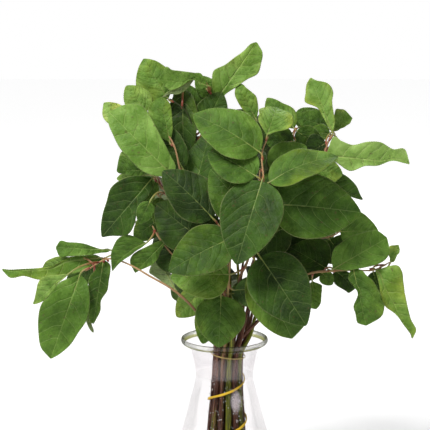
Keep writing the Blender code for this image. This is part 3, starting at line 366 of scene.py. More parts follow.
# Leaves by rule: on the back stems, and a few in the shade on the others. Shares are of the way
# up a stem, and each kind has its count and their spacing.
BACK_SEED = 11
BACK_LEAVES = (10, 0.045)
SHADE_LEAVES = (4, 0.075)
HIGHEST_SHARE = 0.985
SHADE_FROM_Y = -0.02
TRIES = 60
GOLDEN_TURN = 137.5
TURN_SPREAD = 70
# A dark tone for leaves by rule: partly painted shade for the inside of the crown.
RULED_TONE = 0.20
RULED_LENGTH = (0.064, 0.096)
RULED_STALK = 0.008
SIDEWAYS, ONWARD, OUTWARD, DROOP = 1.1, 0.45, 0.6, 0.2
FACE_UP, FACE_ONWARD = 0.5, 0.3
# Width for its length, roll, bow, fold, wave, phase, sweep, twist and hook are drawn from these.
RULED_SPANS = ((0.54, 0.64), (-25, 25), (0.02, 0.09), (0.05, 0.2), (0.005, 0.022), (0, 6),
               (-0.04, 0.04), (-15, 15), (0.0, 0.05))
CROWNS = (((10, 152), (124, 112)), ((50, 52), (46, 44)), ((-18, 52), (34, 40)))
CROWN_HEART = Vector((0.015, 0.0, 0.330))

# Fine surfaces. A blade is sampled at these places, closer together at its ends and margins.
FINE_ROWS = (0.0, 0.006, 0.016, 0.030, 0.046, 0.062) + tuple(0.075 + 0.0125 * k for k in range(72))
FINE_ROWS += (0.974, 0.985, 0.993)
SMALL_ROWS = (0.0, 0.01, 0.03, 0.06) + tuple(0.09 + 0.03 * k for k in range(29)) + (0.96, 0.985)
FINE_COLUMNS = (-1.0, -0.97, -0.90, -0.80, -0.68, -0.55, -0.42, -0.29, -0.16, -0.06, 0.0,
                0.06, 0.16, 0.29, 0.42, 0.55, 0.68, 0.80, 0.90, 0.97, 1.0)
SMALL_COLUMNS = (-1.0, -0.96, -0.80, -0.55, -0.30, -0.08, 0.0, 0.08, 0.30, 0.55, 0.80, 0.96, 1.0)
FINE_HALF_THICKNESS = 0.00028
TOOTH = 0.00035
MARGIN_EXTRA = 0.0005
RAG = 0.30

# Side veins leave the midrib at this lean and arch towards the tip, one side ahead of the other.
VEIN_SPACING = 0.165
VEIN_SHIFT = 0.075
VEIN_LEAN = 0.45
VEIN_ARCH = 2.4
VEIN_DEPTH = 0.00030
VEIN_SHARPNESS = 3
VEINS_APPEAR = 12
MIDRIB_DEPTH = 0.00045
MIDRIB_HALF_WIDTH = 0.014

# Layers of noise: strength, how often it changes along a blade, across it and by leaf, and a shift.
DRIFTS = ((0.012, 2.4, 1.3, 7.7, 0), (0.005, 7.0, 2.0, 3.1, 5))
TEARS = ((1.0, 9.0, 3.0, 5.3, 0), (0.5, 23.0, 3.0, 2.9, 0))
MIDDLE_DRIFT = 0.25

# Stalks run on below their blades as midribs. Radii are shares of the stalk's.
STALK_SIDES = 8
STALK_STEPS = 9
STALK_BASE = 1.35
STALK_SLIMS = 0.35
MIDRIB_COLOUR = 0.30
MIDRIB_STEPS = 12
MIDRIB_END = 0.82
MIDRIB_THINNER = 0.80
MIDRIB_TAPER = 0.7
MIDRIB_SUNK = 0.6

# Bark, thicker inside the vase and slimmer high up, with a swelling at each leaf.
BARK_SIDES = 12
BUNDLE_WIDER = 0.30
WIDER_BELOW = 0.215
WIDER_OVER = 0.025
TWIG_SLIMMER = 0.25
SLIMMER_ABOVE = 0.21
SLIMMER_OVER = 0.08
NODE_SWELL = 0.30
NODE_REACH = 0.003
FAR_FROM_LEAVES = 1.0

# Buds: how far along each ring stands and how wide it is, for a bud of size 1.
BUD_SIZE = 0.0013
BUD_RINGS = ((0.0, 0.7), (0.5, 0.85), (1.1, 0.75), (1.7, 0.4), (2.1, 0.08))
BUD_OUT = 0.0015
BUD_RISE = 0.8
BUD_COLOUR = 0.02

# The dressed bundle is wider and further left near the rim.
SPREAD_HEIGHTS = (0.150, 0.178, 0.203, 0.214, 0.240)
SPREAD_SHARES = (0.0, 0.3, 1.0, 1.0, 0.0)
SPREAD_WIDER = 0.26
SPREAD_LEFT = 0.0028

# Air bubbles: compass angles that they gather at, and their sizes.
BUBBLES = 150
BUBBLE_SEED = 5
BUBBLE_ANGLES = (200, 235, 270, 310, 30, 120)
BUBBLE_SPREAD = 30
BUBBLE_SIZES = (0.0003, 0.0008)
BUBBLES_BELOW = 0.006
BUBBLES_DEPTH = 0.10
BUBBLES_CURVE = 1.3
BUBBLE_SUNK = 0.4
BALL_BANDS = 5
BALL_SIDES = 8

# Hues of stems and seeds of leaves follow each other by a shuffling step.
SHUFFLE = 0.618
FIRST_HUE = 0.37
FIRST_SEED = 0.137
STEM_SEED = 1.7

# Places of a leafy stem's materials, and how much texture a metre of a tube takes up.
LEAF, STALK, BARK = 0, 1, 2
UV_A_METRE = 10

# Mist and painted reflection in the neck of the vase, and a ragged whitish patch on its front.
MIST_AND_GLARE_TOP = (0.198, 0.206)
MIST_AND_GLARE_BOTTOM = (WATER_LINE - 0.001, WATER_LINE + 0.003)
PATCH_PLACE = (0.0130, 0.1540)
PATCH_SIZE = (0.0070, 0.0130)
PATCH_EDGE = (1.3, 2.4)
PATCH_GRAIN = (260.0, 4.0, 0.8)
PATCH_RAGGED = 2.6
MIST_AND_GLARE_LEAST, MIST_AND_GLARE_MORE, PATCH_HAZE = 0.035, 0.08, 0.36
LIP_RADIUS = (0.0458, 0.0464)
LIP_HEIGHT = (0.2100, 0.2124)
LIP_UNDERSIDE = (0.2145, 0.2160)

# Greens of a blade, from dark to pale, the palest greyed as a painted sheen, and the mottling: how fine
# each noise is, how detailed and how far it shifts the green.
LEAF_TONES = ((0.0, (0.009, 0.026, 0.002)), (0.25, (0.030, 0.078, 0.004)),
              (0.50, (0.084, 0.176, 0.018)), (0.75, (0.190, 0.318, 0.062)),
              (1.0, (0.320, 0.460, 0.135)))
MOTTLES = ((3.6, 3.0, 0.66), (48.0, 2.0, 0.15), (13.0, 3.0, 0.20))
YELLOWER = (1.60, 1.10, 0.50)
BRIGHTER = (1.9, 1.6, 1.9)
VEIN_GREEN = (0.25, 0.33, 0.12)
BACK_GREEN = (0.200, 0.255, 0.110)
BACK_VEIN = (0.36, 0.40, 0.22)
RIM_OLIVE = (0.22, 0.22, 0.08)
BURNT_BROWN = (0.15, 0.080, 0.030)
SPECK_BROWN = (0.075, 0.050, 0.020)

# Veins as they are drawn: how strongly each kind shows, how finely each net is meshed and how wide
# its lines are, how far the veins wander, and where the side veins begin and end.
MIDRIB_SHOWS, SIDE_VEIN_SHOWS, NET_SHOWS, FINE_NET_SHOWS = 0.70, 0.90, 0.19, 0.09
NET, FINE_NET = (26.0, 0.10), (70.0, 0.14)
WANDER_SCALE, WANDER = 3.2, 0.16
VEINS_FROM, VEINS_TO = (0.0, 0.02), (0.74, 0.88)
VEIN_CORE, VEIN_WIDTH, VEIN_NARROWS = 0.0008, 0.0092, 0.020
MIDRIB_CORE, MIDRIB_WIDTH, MIDRIB_NARROWS = 0.002, 0.016, 0.011
QUILT_WIDTH = 0.05
SEED_STEP = 31.0

# Relief of each surface: how strongly it shows and how deep it is.
BLADE_RELIEF, STALK_RELIEF, BARK_RELIEF = (0.80, 0.0012), (0.3, 0.0003), (0.5, 0.0006)
BAND_RELIEF, BUBBLE_RELIEF = (0.5, 0.0004), (0.1, 0.0002)
GLASS_RELIEF, WATER_RELIEF = (0.05, 0.002), (0.1, 0.001)

STALK_TONES = ((0.0, (0.17, 0.018, 0.014)), (0.04, (0.24, 0.050, 0.022)),
               (0.13, (0.26, 0.170, 0.045)), (0.28, (0.20, 0.235, 0.050)),
               (1.0, (0.15, 0.210, 0.035)))
WOODY_TONES = ((0.40, (0.012, 0.004, 0.003)), (0.50, (0.080, 0.020, 0.013)),
               (0.61, (0.260, 0.125, 0.070)))
OLIVE_TONES = ((0.40, (0.020, 0.024, 0.003)), (0.50, (0.120, 0.140, 0.010)),
               (0.61, (0.330, 0.340, 0.035)))
YOUNG_TONES = ((0.35, (0.190, 0.085, 0.040)), (0.50, (0.330, 0.190, 0.085)),
               (0.65, (0.430, 0.310, 0.140)))
# Painted shade: one stem's tip, which stands in the shade, is dark green instead of tan.
SHADED_TWIG = (0.030, 0.040, 0.010)

# Tints of the glass, from where it is seen straight on to where it is seen edge on: greyer edge on, a
# painted reflection of the surroundings.
WALL_TONES = ((0.0, (0.957, 0.949, 0.953)), (0.60, (0.970, 0.962, 0.966)),
              (0.76, (0.961, 0.954, 0.958)), (0.90, (0.965, 0.960, 0.962)),
              (1.0, (0.90, 0.90, 0.895)))
# Painted lines of the lip seen edge on: grey, and olive on its underside, for the surroundings and
# foliage that it bends and reflects.
LIP_TONES = ((0.0, (0.95, 0.95, 0.94)), (0.14, (0.84, 0.85, 0.82)), (0.32, (0.40, 0.41, 0.37)),
             (0.62, (0.13, 0.14, 0.11)))
UNDER_TONES = ((0.0, (0.93, 0.94, 0.86)), (0.24, (0.50, 0.51, 0.24)), (0.60, (0.19, 0.20, 0.05)))
WALL_STREAK = (0.88, 0.87, 0.88)
LIP_GLASS = (0.95, 0.96, 0.92)
THROUGH_GLASS = (0.96, 0.97, 0.96)
# Grey of the veil on the wall: mist and painted reflection.
HAZE_GREY = (0.62, 0.56, 0.58)
WATER_TINTS = ((0.985, 0.985, 0.98), (0.965, 0.970, 0.965))
GLEAM_ROUGHNESS = 0.04
GLEAM_SHARE = 0.12
LIP_IOR, WALL_IOR, WATER_IOR = 1.40, 1.30, 1.12
LIP_OUTLINE = 0.75
GRAZING_BLEND = 0.35
WOBBLE_SCALE = 26.0
STREAKS = (0.45, 0.75)
STREAK_SHARE = 0.10

# Bands: light and dark, and the brown of their specks.
PALE_BAND = ((0.62, 0.47, 0.14), (0.40, 0.28, 0.07))
BRIGHT_BAND = ((0.86, 0.58, 0.012), (0.62, 0.37, 0.008))
BAND_SPECK = (0.25, 0.16, 0.03)
# Pale greys of the bubbles: a painted glint of the light they reflect.
BUBBLE_TONES = ((0.3, (0.55, 0.55, 0.55)), (0.7, (0.95, 0.96, 0.96)))

# Studio: the floor glows for the camera far away, so that it ends as white as the sky.
WHITE = (1.0, 1.0, 1.0)
FLOOR_HALF = 12.0
FLOOR_WHITE = (0.80, 0.80, 0.80)
GLOW_FROM_TO = (1.0, 2.6)
GLOW = 0.45
SKY_TONES = ((0.0, (0.20, 0.20, 0.20)), (1.0, (0.95, 0.95, 0.95)))
SKY_IN_GLOSS = (0.18, 0.18, 0.18)
# Lamps: name, place, aim, size and power.
LAMPS = (("key", (-1.1, -1.0, 2.3), (0, 0, 0.35), 0.8, 72),
         ("back", (0.7, 1.8, 1.9), (0, 0, 0.3), 1.2, 26))


def curved(start, end, start_slope, end_slope, s):
    """The smooth curve from start to end that has these slopes there, s of the way along."""
    h00 = 2 * s ** 3 - 3 * s ** 2 + 1
    h10 = s ** 3 - 2 * s ** 2 + s
    h01 = -2 * s ** 3 + 3 * s ** 2
    h11 = s ** 3 - s ** 2
    return start * h00 + start_slope * h10 + end * h01 + end_slope * h11


def neighbours(i, row):
    """Places before and after i in a row, or i itself at its ends."""
    return max(i - 1, 0), min(i + 1, len(row) - 1)


def smooth_route(points, step):
    """Points every step or so along a smooth curve through the given points."""
    knots = [0.0]
    for before, after in zip(points, points[1:]):
        knots.append(knots[-1] + (after - before).length)
    slopes = []
    for i in range(len(points)):
        low, high = neighbours(i, points)
        slopes.append((points[high] - points[low]) / (knots[high] - knots[low]))
    route = [points[0].copy()]
    for i in range(len(points) - 1):
        span = knots[i + 1] - knots[i]
        count = max(1, round(span / step))
        for k in range(1, count + 1):
            route.append(curved(points[i], points[i + 1], slopes[i] * span, slopes[i + 1] * span,
                                k / count))
    return route


def bundle_slots():
    """Places of the stems in the bundle, on rings, for an outer ring of radius 1."""
    slots = []
    for ring, (count, radius) in enumerate(RINGS):
        for k in range(count):
            angle = FULL_TURN * (k + 0.5 * ring) / count
            slots.append(Vector((radius * math.cos(angle), radius * math.sin(angle), 0.0)))
    return slots


def between(value, places, values):
    """Value in a row of values, straight between its places."""
    return float(np.interp(value, places, values))


def bundle_at(height):
    """Middle and outer ring radius of the bundle at a height."""
    heights, middles, radii = zip(*BUNDLE)
    return between(height, heights, middles), between(height, heights, radii)


def take_slots(routes):
    """Give each stem the free slot that best fits the way it leans; wide leaners choose first."""
    free = bundle_slots()
    wanted = {}
    for name, points in routes.items():
        reach = points[min(LEAN_AT_POINT, len(points) - 1)]
        lean = Vector((reach.x - BUNDLE[-1][1], reach.y, 0.0)) / FULL_LEAN
        wanted[name] = lean.normalized() if lean.length > 1 else lean
    chosen = {}
    for name in sorted(wanted, key=lambda key: (-wanted[key].length, key)):
        best = min(free, key=lambda slot: (slot - wanted[name]).length)
        free.remove(best)
        chosen[name] = best
    return chosen


def evened(offset, same_next):
    """Offsets of the stems' points, evened out with those before and after on the same stem."""
    after = np.roll(offset, -1, axis=0)
    before = np.roll(offset, 1, axis=0)
    after[~same_next] = offset[~same_next]
    firsts = np.roll(~same_next, 1)
    before[firsts] = offset[firsts]
    return 0.5 * offset + 0.25 * after + 0.25 * before


def part_stems(dense, radii):
    """Push the stems' points apart above the tie, over a set number of rounds, by what each pair lacks
    of its gap.
    """
    names = list(dense)
    points = np.array([list(p) for name in names for p in dense[name]])
    owner = np.array([i for i, name in enumerate(names) for _ in dense[name]])
    thick = np.array([r for name in names for r in radii[name]])
    free = (points[:, 2] > LOCKED_BELOW)[:, None]
    apart = owner[:, None] != owner[None, :]
    need = thick[:, None] + thick[None, :] + STEM_GAP
    offset = np.zeros_like(points)
    same_next = np.append(owner[1:] == owner[:-1], False)
    for _ in range(PARTING_ROUNDS):
        here = points + offset
        delta = here[:, None, :] - here[None, :, :]
        gap = np.sqrt((delta ** 2).sum(axis=2)) + NO_DISTANCE
        lack = np.where(apart, np.clip(need - gap, 0.0, None), 0.0)
        offset += ((delta / gap[:, :, None]) * (0.5 * lack)[:, :, None]).sum(axis=1) * free
        offset = evened(offset, same_next) * free
    moved = points + offset
    result = {}
    start = 0
    for name in names:
        count = len(dense[name])
        result[name] = [Vector(p) for p in moved[start:start + count]]
        start += count
    return result


def stem_radius(share):
    """Radius of a woody stem, a share of the way from its cut end to its tip."""
    return STEM_RADIUS + (STEM_TIP_RADIUS - STEM_RADIUS) * share ** STEM_TAPER


def grow_stems():
    """Centre lines and radii of every woody stem."""
    routes = {name: [seen_at(*p) for p in stem[0]] for name, stem in STEMS.items()}
    for i, (compass, lean, length) in enumerate(BACK_STEMS):
        routes[f"stem_back_{i + 1}"] = back_route(compass, lean, length * MM)
    slots = take_slots(routes)
    dense = {}
    radii = {}
    for name, points in routes.items():
        low = [Vector((middle, 0.0, height)) + slots[name] * radius
               for height, middle, radius in BUNDLE]
        dense[name] = smooth_route(low + points, ROUTE_STEP)
        last = len(dense[name]) - 1
        radii[name] = [stem_radius(k / last) for k in range(last + 1)]
    return part_stems(dense, radii), radii


def back_route(compass, lean, length):
    """Route of a back stem: it rises from the mouth and leans out more and more."""
    away = Vector((math.cos(math.radians(compass)), math.sin(math.radians(compass)), 0.0))
    here = Vector((BUNDLE[-1][1], 0.0, BACK_FROM)) + away * BACK_OUT
    points = [here.copy()]
    for k in range(BACK_BENDS):
        tilt = math.radians(lean * (LEAN_AT_FIRST + LEAN_MORE * k))
        way = away * math.sin(tilt) + Vector((0, 0, math.cos(tilt)))
        here = here + way * (length / BACK_BENDS)
        points.append(here.copy())
    return points


def blade_axes(one):
    """Length, and the directions along, out of and across a blade."""
    chord = one.tip - one.base
    along = chord.normalized()
    out = (one.face - along * one.face.dot(along)).normalized()
    out = Matrix.Rotation(math.radians(one.roll), 3, along) @ out
    return chord.length, along, out, along.cross(out)


def half_width(one, t):
    """Half width of a blade, t of the way to its tip: round at the base, pointed at the tip."""
    if t <= 0.0 or t >= 1.0:
        return 0.0
    widest = BASE_ROUNDNESS / (BASE_ROUNDNESS + one.point)
    swell = (t / widest) ** BASE_ROUNDNESS * ((1 - t) / (1 - widest)) ** one.point
    return 0.5 * one.width * swell


def edge_at(margin, t):
    """Where an irregular margin lies to the side, t of the way to the tip."""
    values = (0.0,) + margin + (0.0,)
    last = len(values) - 1
    i = max(0, min(last - 1, bisect(EDGE_KNOTS, t) - 1))
    span = EDGE_KNOTS[i + 1] - EDGE_KNOTS[i]
    slopes = []
    for k in (i, i + 1):
        low, high = neighbours(k, values)
        slopes.append((values[high] - values[low]) / (EDGE_KNOTS[high] - EDGE_KNOTS[low]) * span)
    return curved(values[i], values[i + 1], slopes[0], slopes[1], (t - EDGE_KNOTS[i]) / span) * MM


def across_at(one, t, c, extra=0.0):
    """How far to the side a blade's point lies, c of the way from its midrib to a margin."""
    if not one.left or t <= 0.0 or t >= 1.0:
        return c * (half_width(one, t) + extra)
    left = edge_at(one.left, t)
    right = edge_at(one.right, t)
    keep = EDGE_FROM_MIDRIB * (right - left)
    midrib = min(max(0.0, left + keep), right - keep)
    edge = right if c > 0 else left
    return midrib + abs(c) * (edge - midrib) + c * extra


def blade_point(one, axes, t, c, extra=0.0):
    """Middle of the blade's thickness, t of the way to the tip and c of the way to a margin."""
    length, along, out, across = axes
    arch = 4 * t * (1 - t)
    turn = Matrix.Rotation(math.radians(one.twist * (t - TWIST_FROM)), 3, along)
    over = turn @ out
    side = turn @ across
    reach = across_at(one, t, c, extra)
    rise = one.fold * abs(reach) * abs(c) ** FOLD_CURVE
    phase = FULL_TURN * WAVES_ON_BLADE * t + one.phase + (RIGHT_WAVE_LEAD if c > 0 else 0.0)
    ripple = one.wave * length * math.sin(phase)
    rise += ripple * c * c * min(1.0, WAVE_RISES * t, WAVE_FALLS * (1 - t))
    bend = max(0.0, t - HOOK_FROM) / (1 - HOOK_FROM)
    place = one.base + along * (length * t)
    place = place + out * (one.bow * length * arch - one.hook * length * bend ** 2)
    place = place + across * (one.sweep * length * arch)
    return place + side * reach + over * rise, over


def stalk_bend(one, along, root):
    """Where a leaf stalk heads for before it turns into the blade's midrib."""
    reach = (one.base - root).length
    return one.base - along * min(STALK_BEND_SHARE * reach, STALK_BEND_MOST)


def stalk_points(one, along, root):
    """Root, bend and end of a leaf stalk, which turns into the blade's midrib."""
    if (one.base - root).length < LONG_STALK:
        return [root, one.base]
    return [root, root * 0.25 + stalk_bend(one, along, root) * 0.5 + one.base * 0.25, one.base]


def ring_of(places, overs, offsets):
    """One closed ring: upper side from left to right, then the lower side back again."""
    upper = [p + o * f for p, o, f in zip(places, overs, offsets)]
    lower = [p - o * f for p, o, f in zip(places, overs, offsets)]
    return upper + lower[-2:0:-1]


def leaf_rings(one, root, grow=0.0):
    """Rings of a leaf from its root in the stem to the last one before its tip."""
    axes = blade_axes(one)
    columns = PLAIN_COLUMNS if one.plain else WIDE_COLUMNS
    stations = PLAIN_STATIONS if one.plain else BLADE_STATIONS
    stations = EDGE_STATIONS if one.left else stations
    stalk = stalk_points(one, axes[1], root)
    ways = [stalk[1] - root] + [one.base - root] * (len(stalk) - 2) + [axes[1]]
    rings = []
    for place, way in zip(stalk, ways):
        side = way.normalized().cross(axes[2])
        side = side.normalized() if side.length > FLAT_SIDE else axes[3]
        over = side.cross(way.normalized()).normalized()
        radius = STALK_RADIUS + grow
        places = [place + side * (radius * c) for c in columns]
        offsets = [radius * math.sqrt(max(0.0, 1 - c * c)) for c in columns]
        rings.append(ring_of(places, [over] * len(columns), offsets))
    for t in stations:
        pairs = [blade_point(one, axes, t, c, grow) for c in columns]
        offsets = [0.0 if abs(c) == 1 else BLADE_HALF_THICKNESS + grow for c in columns]
        rings.append(ring_of([p for p, _ in pairs], [o for _, o in pairs], offsets))
    tip = blade_point(one, axes, 1.0, 0.0)[0] + axes[1] * grow
    return rings, tip


def leaf_faces(one, root, grow=0.0):
    """Vertices and triangles of a leaf; its upper and lower faces are split alike."""
    rings, tip = leaf_rings(one, root, grow)
    size = len(rings[0])
    points = [p for ring in rings for p in ring] + [tip]
    faces = []
    middle = size // 2
    for i in range(len(rings) - 1):
        low = i * size
        high = low + size
        for j in range(size):
            k = (j + 1) % size
            if j < middle:
                faces.append((low + j, low + k, high + k))
                faces.append((low + j, high + k, high + j))
            else:
                faces.append((low + j, low + k, high + j))
                faces.append((low + k, high + k, high + j))
    last = (len(rings) - 1) * size
    for j in range(size):
        faces.append((last + j, last + (j + 1) % size, len(points) - 1))
    for j in range(1, size - 1):
        faces.append((0, j + 1, j))
    return points, faces


def picked(route):
    """Which points of a route its tube runs through: fewer of them down in the bundle."""
    low = [i for i in range(len(route)) if route[i].z < LOCKED_BELOW]
    high = list(range(low[-1], len(route) - 2, TUBE_EVERY))
    return low[:-1:LOW_EVERY] + high + [len(route) - 1]


def way_at(path, i):
    """Direction of a path at its point i."""
    before, after = neighbours(i, path)
    return (path[after] - path[before]).normalized()


def round_about(middle, side, over, radius, count):
    """Points of a ring round a middle."""
    angles = [FULL_TURN * k / count for k in range(count)]
    return [middle + (side * math.cos(angle) + over * math.sin(angle)) * radius for angle in angles]


def tube_faces(route, radii):
    """Vertices and faces of a plain tube, for finding what a leaf would touch."""
    points = []
    faces = []
    for n, i in enumerate(picked(route)):
        way = way_at(route, i)
        side = way.orthogonal().normalized()
        points += round_about(route[i], side, way.cross(side), radii[i], TUBE_SIDES)
        for k in range(TUBE_SIDES if n else 0):
            low = (n - 1) * TUBE_SIDES
            after = (k + 1) % TUBE_SIDES
            faces.append((low + k, low + after, low + TUBE_SIDES + after, low + TUBE_SIDES + k))
    return points, faces


def on_tube(route, index):
    """Point on the straight runs of a stem's tube that stands for a point of its route."""
    picks = picked(route)
    for low, high in zip(picks, picks[1:]):
        if low <= index <= high:
            return route[low].lerp(route[high], (index - low) / (high - low))
    return route[-1]


def root_on(route, one):
    """Where a leaf's stalk leaves its stem: a little below the nearest point, or above it."""
    nearest = min(range(len(route)), key=lambda i: (route[i] - one.base).length)
    gap = (route[nearest] - one.base).length
    steps = round(max(ROOT_BELOW_LEAST, ROOT_BELOW_SHARE * gap) / ROUTE_STEP)
    before, after = neighbours(nearest, route)
    hangs = (route[after] - route[before]).dot(one.tip - one.base) < 0
    above = hangs and nearest + steps < len(route)
    index = nearest + steps if above else nearest - steps
    return on_tube(route, max(0, min(len(route) - 1, index)))


def shifted(one, closer, tip_closer, roll):
    """The same leaf moved along the line of sight, its tip moved more, and rolled."""
    base = one.base + (EYE - one.base).normalized() * closer
    tip = one.tip + (EYE - one.tip).normalized() * (closer + tip_closer)
    return one._replace(base=base, tip=tip, roll=one.roll + roll)


def trial_moves():
    """Small moves first: how much closer to the eye, the tip more so, and how much rolled."""
    moves = []
    for closer in CLOSER_MOVES:
        for tip_closer in TIP_MOVES:
            for roll in ROLL_MOVES:
                cost = abs(closer) + TIP_COST * abs(tip_closer) + ROLL_COST * abs(roll)
                moves.append((cost, closer * MM, tip_closer * MM, roll))
    return [move[1:] for move in sorted(moves)]


MOVES = trial_moves()


class Thicket:
    """What has grown so far, to keep each new leaf clear of it."""

    def __init__(self, routes, radii):
        self.routes = routes
        self.woods = {name: BVHTree.FromPolygons(*tube_faces(routes[name], radii[name]))
                      for name in routes}
        self.blades = {name: [] for name in routes}
        self.leaves = {name: [] for name in routes}

    def clear(self, name, one, root, strict):
        """Whether a leaf of a stem stays clear of the other stems, and if strict of its own."""
        tree = BVHTree.FromPolygons(*leaf_faces(one, root, CLEARANCE))
        for other in self.routes:
            if other != name and tree.overlap(self.woods[other]):
                return False
            if (strict or other != name) and any(map(tree.overlap, self.blades[other])):
                return False
        return True

    def add(self, name, one, root):
        self.blades[name].append(BVHTree.FromPolygons(*leaf_faces(one, root)))
        self.leaves[name].append((one, root))

    def place(self, name, one):
        """Set a leaf as near to its wanted place as it stays clear."""
        for strict in (True, False):
            for move in MOVES:
                moved = shifted(one, *move)
                root = root_on(self.routes[name], moved)
                if self.clear(name, moved, root, strict):
                    self.add(name, moved, root)
                    return


def in_crown(place):
    """Whether a point is seen from the front inside one of the leafy crown's ovals."""
    ray = place - EYE
    scale = EYE_DISTANCE / ray.dot(AHEAD)
    on_plane = EYE + ray * scale - RIM_CENTRE
    across = on_plane.dot(RIGHT) / MM
    up = on_plane.dot(UP) / MM
    return any(((across - middle[0]) / half[0]) ** 2 + ((up - middle[1]) / half[1]) ** 2 < 1.0
               for middle, half in CROWNS)


def ruled_leaf(route, share, turn, draw):
    """A leaf by rule: it leaves its stem by turn degrees, outwards and a little down."""
    index = max(1, min(len(route) - 2, round(share * (len(route) - 1))))
    here = route[index]
    way = (route[index + 1] - route[index - 1]).normalized()
    side = Matrix.Rotation(math.radians(turn), 3, way) @ way.orthogonal().normalized()
    outward = (here - CROWN_HEART).normalized()
    aim = side * SIDEWAYS + way * ONWARD + outward * OUTWARD + Vector((0, 0, -DROOP))
    aim = aim.normalized()
    length = draw.uniform(*RULED_LENGTH)
    base = here + aim * RULED_STALK
    face = (outward + Vector((0, 0, FACE_UP)) + way * FACE_ONWARD).normalized()
    width_share, *bends = [draw.uniform(*span) for span in RULED_SPANS]
    return Leaf(base, base + aim * length, length * width_share, face, *bends, LEAF_POINT, True,
                (), (), RULED_TONE, 0.0)


def allowed(one, back):
    """Whether a leaf by rule stays in the crown, and on a front stem behind the placed leaves."""
    middle = (one.tip + one.base) / 2
    if not (in_crown(one.tip) and in_crown(middle)):
        return False
    return back or max(one.tip.y, one.base.y) > SHADE_FROM_Y


def grow_ruled(thicket):
    """Leaves drawn by rule: most on the back stems, a few in the shade of the others."""
    draw = random.Random(BACK_SEED)
    for name, route in thicket.routes.items():
        back = name.startswith("stem_back")
        count, spacing = BACK_LEAVES if back else SHADE_LEAVES
        for k in range(count):
            share = HIGHEST_SHARE - spacing * k
            for _ in range(TRIES):
                turn = GOLDEN_TURN * k + draw.uniform(-TURN_SPREAD, TURN_SPREAD)
                one = ruled_leaf(route, share, turn, draw)
                root = root_on(route, one)
                if allowed(one, back) and thicket.clear(name, one, root, True):
                    thicket.add(name, one, root)
                    break


def grow():
    """The whole bunch: routes, radii and leaves of every stem."""
    routes, radii = grow_stems()
    thicket = Thicket(routes, radii)
    for name, stem in STEMS.items():
        for one in stem[1:]:
            thicket.place(name, one)
    grow_ruled(thicket)
    return routes, radii, thicket.leaves


def bundle_reach(routes, radii, height):
    """How far the outermost stem reaches from the bundle's middle at a height."""
    middle = bundle_at(height)[0]
    reach = 0.0
    for name, route in routes.items():
        picks = picked(route)
        heights = [route[i].z for i in picks]
        x = between(height, heights, [route[i].x for i in picks])
        y = between(height, heights, [route[i].y for i in picks])
        radius = between(height, heights, [radii[name][i] for i in picks])
        reach = max(reach, math.hypot(x - middle, y) + radius)
    return reach


def band_point(routes, radii, height, angle, corner, thick):
    """Middle of a band that lies on the bundle; corner is half the angle between its points."""
    reach = bundle_reach(routes, radii, height) + TOUCH_GAP + thick
    reach /= math.cos(corner)
    return Vector((bundle_at(height)[0] + reach * math.cos(angle), reach * math.sin(angle), height))


def upper_band_point(routes, radii, angle, corner):
    """Middle of the upper band, which lies higher on the left than on the right."""
    height = UPPER_TIE_HEIGHT - UPPER_TIE_SLOPE * math.cos(angle)
    return band_point(routes, radii, height, angle, corner, UPPER_TIE_RADIUS)


def clipped(value):
    """The value, but at least 0 and at most 1."""
    return min(1.0, max(0.0, value))


def add_object(name, data):
    """A new object in the scene."""
    made = bpy.data.objects.new(name, data)
    bpy.context.scene.collection.objects.link(made)
    return made


class Surface:
    """Points, faces and per-corner values of a mesh that is being made."""

    def __init__(self):
        self.points = []
        self.faces = []
        self.kinds = []
        self.uvs = []
        self.tints = []

    def point(self, place, uv=(0, 0), tint=(0, 0, 0, 1)):
        self.points.append(place)
        self.uvs.append(uv)
        self.tints.append(tint)
        return len(self.points) - 1

    def face(self, corners, kind=0):
        self.faces.append(corners)
        self.kinds.append(kind)

    def tube(self, rings, kind=0):
        """Faces of a tube through closed rings of points, with a cap at each end."""
        for low, high in zip(rings, rings[1:]):
            for k in range(len(low)):
                n = (k + 1) % len(low)
                self.face((low[k], low[n], high[n], high[k]), kind)
        self.face(tuple(reversed(rings[0])), kind)
        self.face(tuple(rings[-1]), kind)

    def to_object(self, name, materials):
        """A smooth mesh object, with a UV map and a colour attribute that the materials read."""
        mesh = bpy.data.meshes.new(name)
        mesh.from_pydata([tuple(p) for p in self.points], [], self.faces)
        for one in materials:
            mesh.materials.append(one)
        mesh.polygons.foreach_set("material_index", self.kinds)
        corners = np.zeros(len(mesh.loops), dtype=np.int32)
        mesh.loops.foreach_get("vertex_index", corners)
        layer = mesh.uv_layers.new(name="surface")
        layer.data.foreach_set("uv", np.array(self.uvs, dtype=np.float32)[corners].ravel())
        tint = mesh.color_attributes.new("tint", "FLOAT_COLOR", "POINT")
        tint.data.foreach_set("color", np.array(self.tints, dtype=np.float32).ravel())
        mesh.shade_smooth()
        work = bmesh.new()
        work.from_mesh(mesh)
        bmesh.ops.recalc_face_normals(work, faces=work.faces)
        work.to_mesh(mesh)
        work.free()
        return add_object(name, mesh)


def vein_dip(t, lateral, half_share):
    """How far the blade dips along its veins, t of the way up and lateral lengths to one side."""
    out = abs(lateral)
    start = t - VEIN_LEAN * out - VEIN_ARCH * out * out
    phase = (start + (VEIN_SHIFT if lateral > 0 else 0.0)) / VEIN_SPACING
    side_vein = (0.5 + 0.5 * math.cos(FULL_TURN * phase)) ** VEIN_SHARPNESS
    side_vein *= max(0.0, 1.0 - half_share ** 3) * clipped(VEINS_APPEAR * start)
    midrib = math.exp(-(out / MIDRIB_HALF_WIDTH) ** 2) * max(0.0, 1.0 - t)
    return VEIN_DEPTH * side_vein + MIDRIB_DEPTH * midrib


def layered(layers, t, c, seed):
    """Sum of layers of noise: the strength of each, and how often it changes along, across and
    by seed."""
    return sum(strength * noise.noise(Vector((along * t, across * c, by_seed * seed + shift)))
               for strength, along, across, by_seed, shift in layers)


